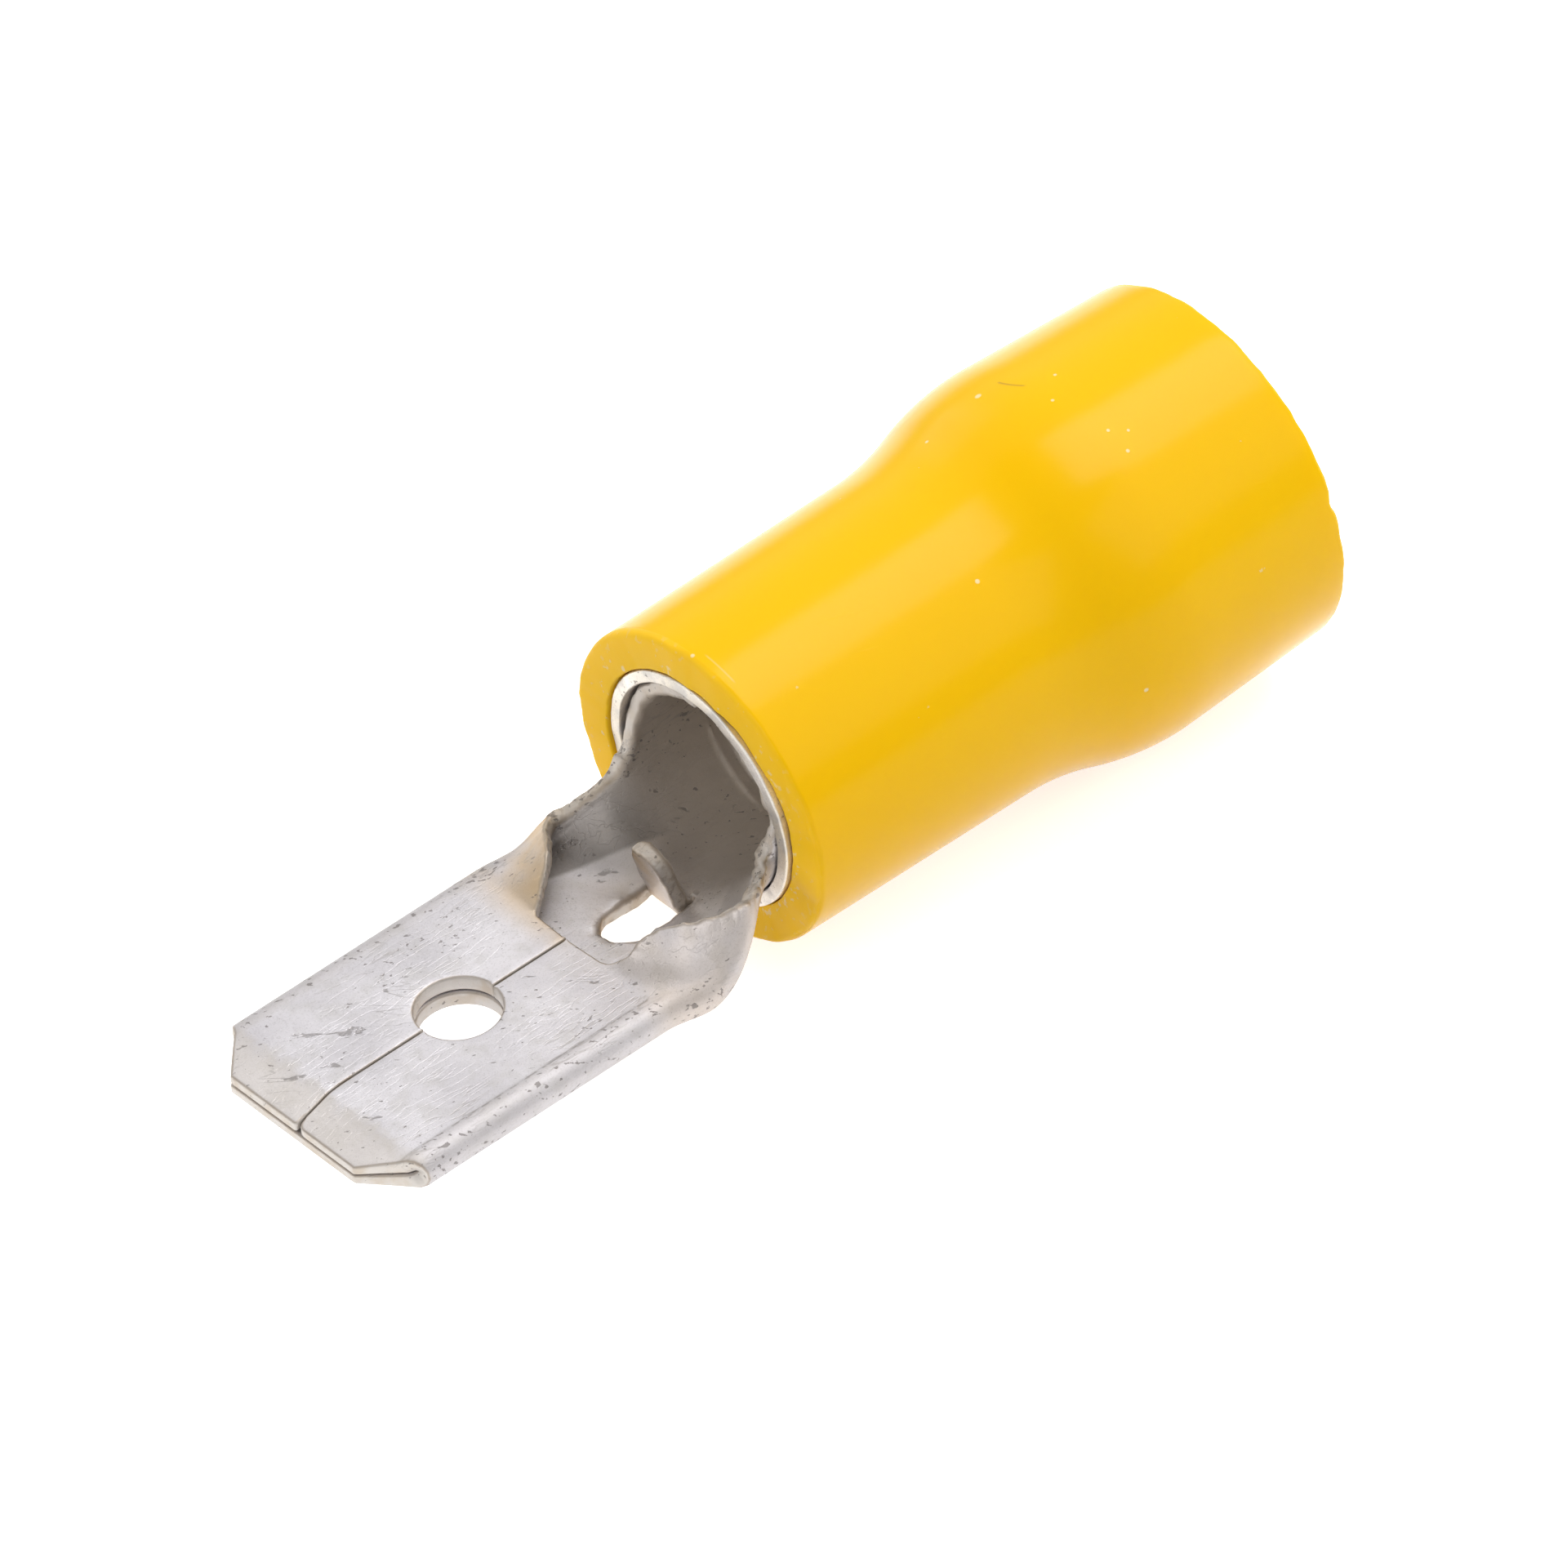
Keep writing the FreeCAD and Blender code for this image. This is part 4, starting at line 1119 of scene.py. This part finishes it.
def softbox(name, place, aim, size, power):
    """Area lamp that looks at a point: places and size in millimetres, power in watts."""
    data = bpy.data.lights.new(name, "AREA")
    data.shape = "RECTANGLE"
    data.size, data.size_y = size[0] * MM, size[1] * MM
    data.energy = power
    lamp = new_object(name, data)
    lamp.location = Vector(place) * MM
    lamp.rotation_euler = (Vector(aim) - Vector(place)).to_track_quat("-Z", "Y").to_euler()


# Camera: where the photographer stood, in degrees and millimetres
VIEW_AZIMUTH = math.radians(144.04)
VIEW_ELEVATION = math.radians(41.535)
VIEW_ROLL = math.radians(7.02)
VIEW_DISTANCE = 450.0
VIEW_AIM = Vector((14.425, 3.416, 2.468))
LONG_SIDE = 1920
PIXELS_PER_MM = 60.118
SENSOR = 36.0


def studio_camera():
    """Long lens at the photograph's angle."""
    back = Vector((
        math.sin(VIEW_AZIMUTH) * math.cos(VIEW_ELEVATION),
        -math.cos(VIEW_AZIMUTH) * math.cos(VIEW_ELEVATION),
        math.sin(VIEW_ELEVATION),
    ))
    data = bpy.data.cameras.new("camera")
    data.sensor_width = SENSOR
    data.lens = PIXELS_PER_MM * VIEW_DISTANCE / LONG_SIDE * SENSOR
    data.clip_start, data.clip_end = 0.01, 10.0
    camera = new_object("camera", data)
    level = (-back).to_track_quat("-Z", "Y").to_matrix()
    turned = level @ Matrix.Rotation(-VIEW_ROLL, 3, "Z")
    camera.matrix_world = Matrix.Translation((VIEW_AIM + back * VIEW_DISTANCE) * MM) @ turned.to_4x4()
    bpy.context.scene.camera = camera


bpy.context.scene.view_settings.view_transform = "Standard"
studio_camera()
studio_world()
studio_floor()
softbox("top_softbox", (-101, 4, 222), (9, 0, 0), (150, 150), 0.3)
softbox("back_softbox", (-105, -160, 175), (18, 0, 0), (300, 300), 0.145)
softbox("rear_softbox", (-230, 10, 110), (9, 0, 0), (160, 160), 0.1)
softbox("far_softbox", (17, -220, 105), (17, 0, 0), (140, 140), 0.05)
softbox("front_softbox", (235, -110, 75), (15, 0, 0), (160, 160), 0.14)
softbox("near_softbox", (164, 82, 156), (17, 2, 0), (60, 60), 0.07)
softbox("side_softbox", (-81, 148, 138), (20, 3, 0), (160, 160), 0.085)

effects = {
    "grain": grain_group(), "marks": worn_marks_group(), "scratches": scratches_group(),
    "speck": speck_group(), "hairline": hairline_group(),
}
terminal_finish = tinned_metal(
    "tinned_strip", effects, dark=(0.585, 0.562, 0.582, 1), light=(0.69, 0.667, 0.687, 1),
    cut_tint=(0.62, 0.585, 0.54, 1), mottling=0.35)
support_finish = tinned_metal(
    "tinned_ring", effects, dark=(0.66, 0.60, 0.50, 1), light=(0.94, 0.91, 0.87, 1),
    cut_tint=(0.80, 0.75, 0.66, 1), mottling=0.7)
vinyl_finish = yellow_vinyl(effects)

terminal = make_terminal()
terminal.data.materials.append(terminal_finish)
face_outwards(terminal.data)
turned_wall = turned_wall_tree()
support = make_support(turned_wall, support_finish)
insulation = make_insulation(turned_wall, vinyl_finish)

for piece, node, slot in (
    (terminal, "terminal_body", "tinned_metal"),
    (support, "support_sleeve", "tinned_support"),
    (insulation, "insulating_sleeve", "yellow_vinyl"),
):
    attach(piece, "root")
    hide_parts(node)
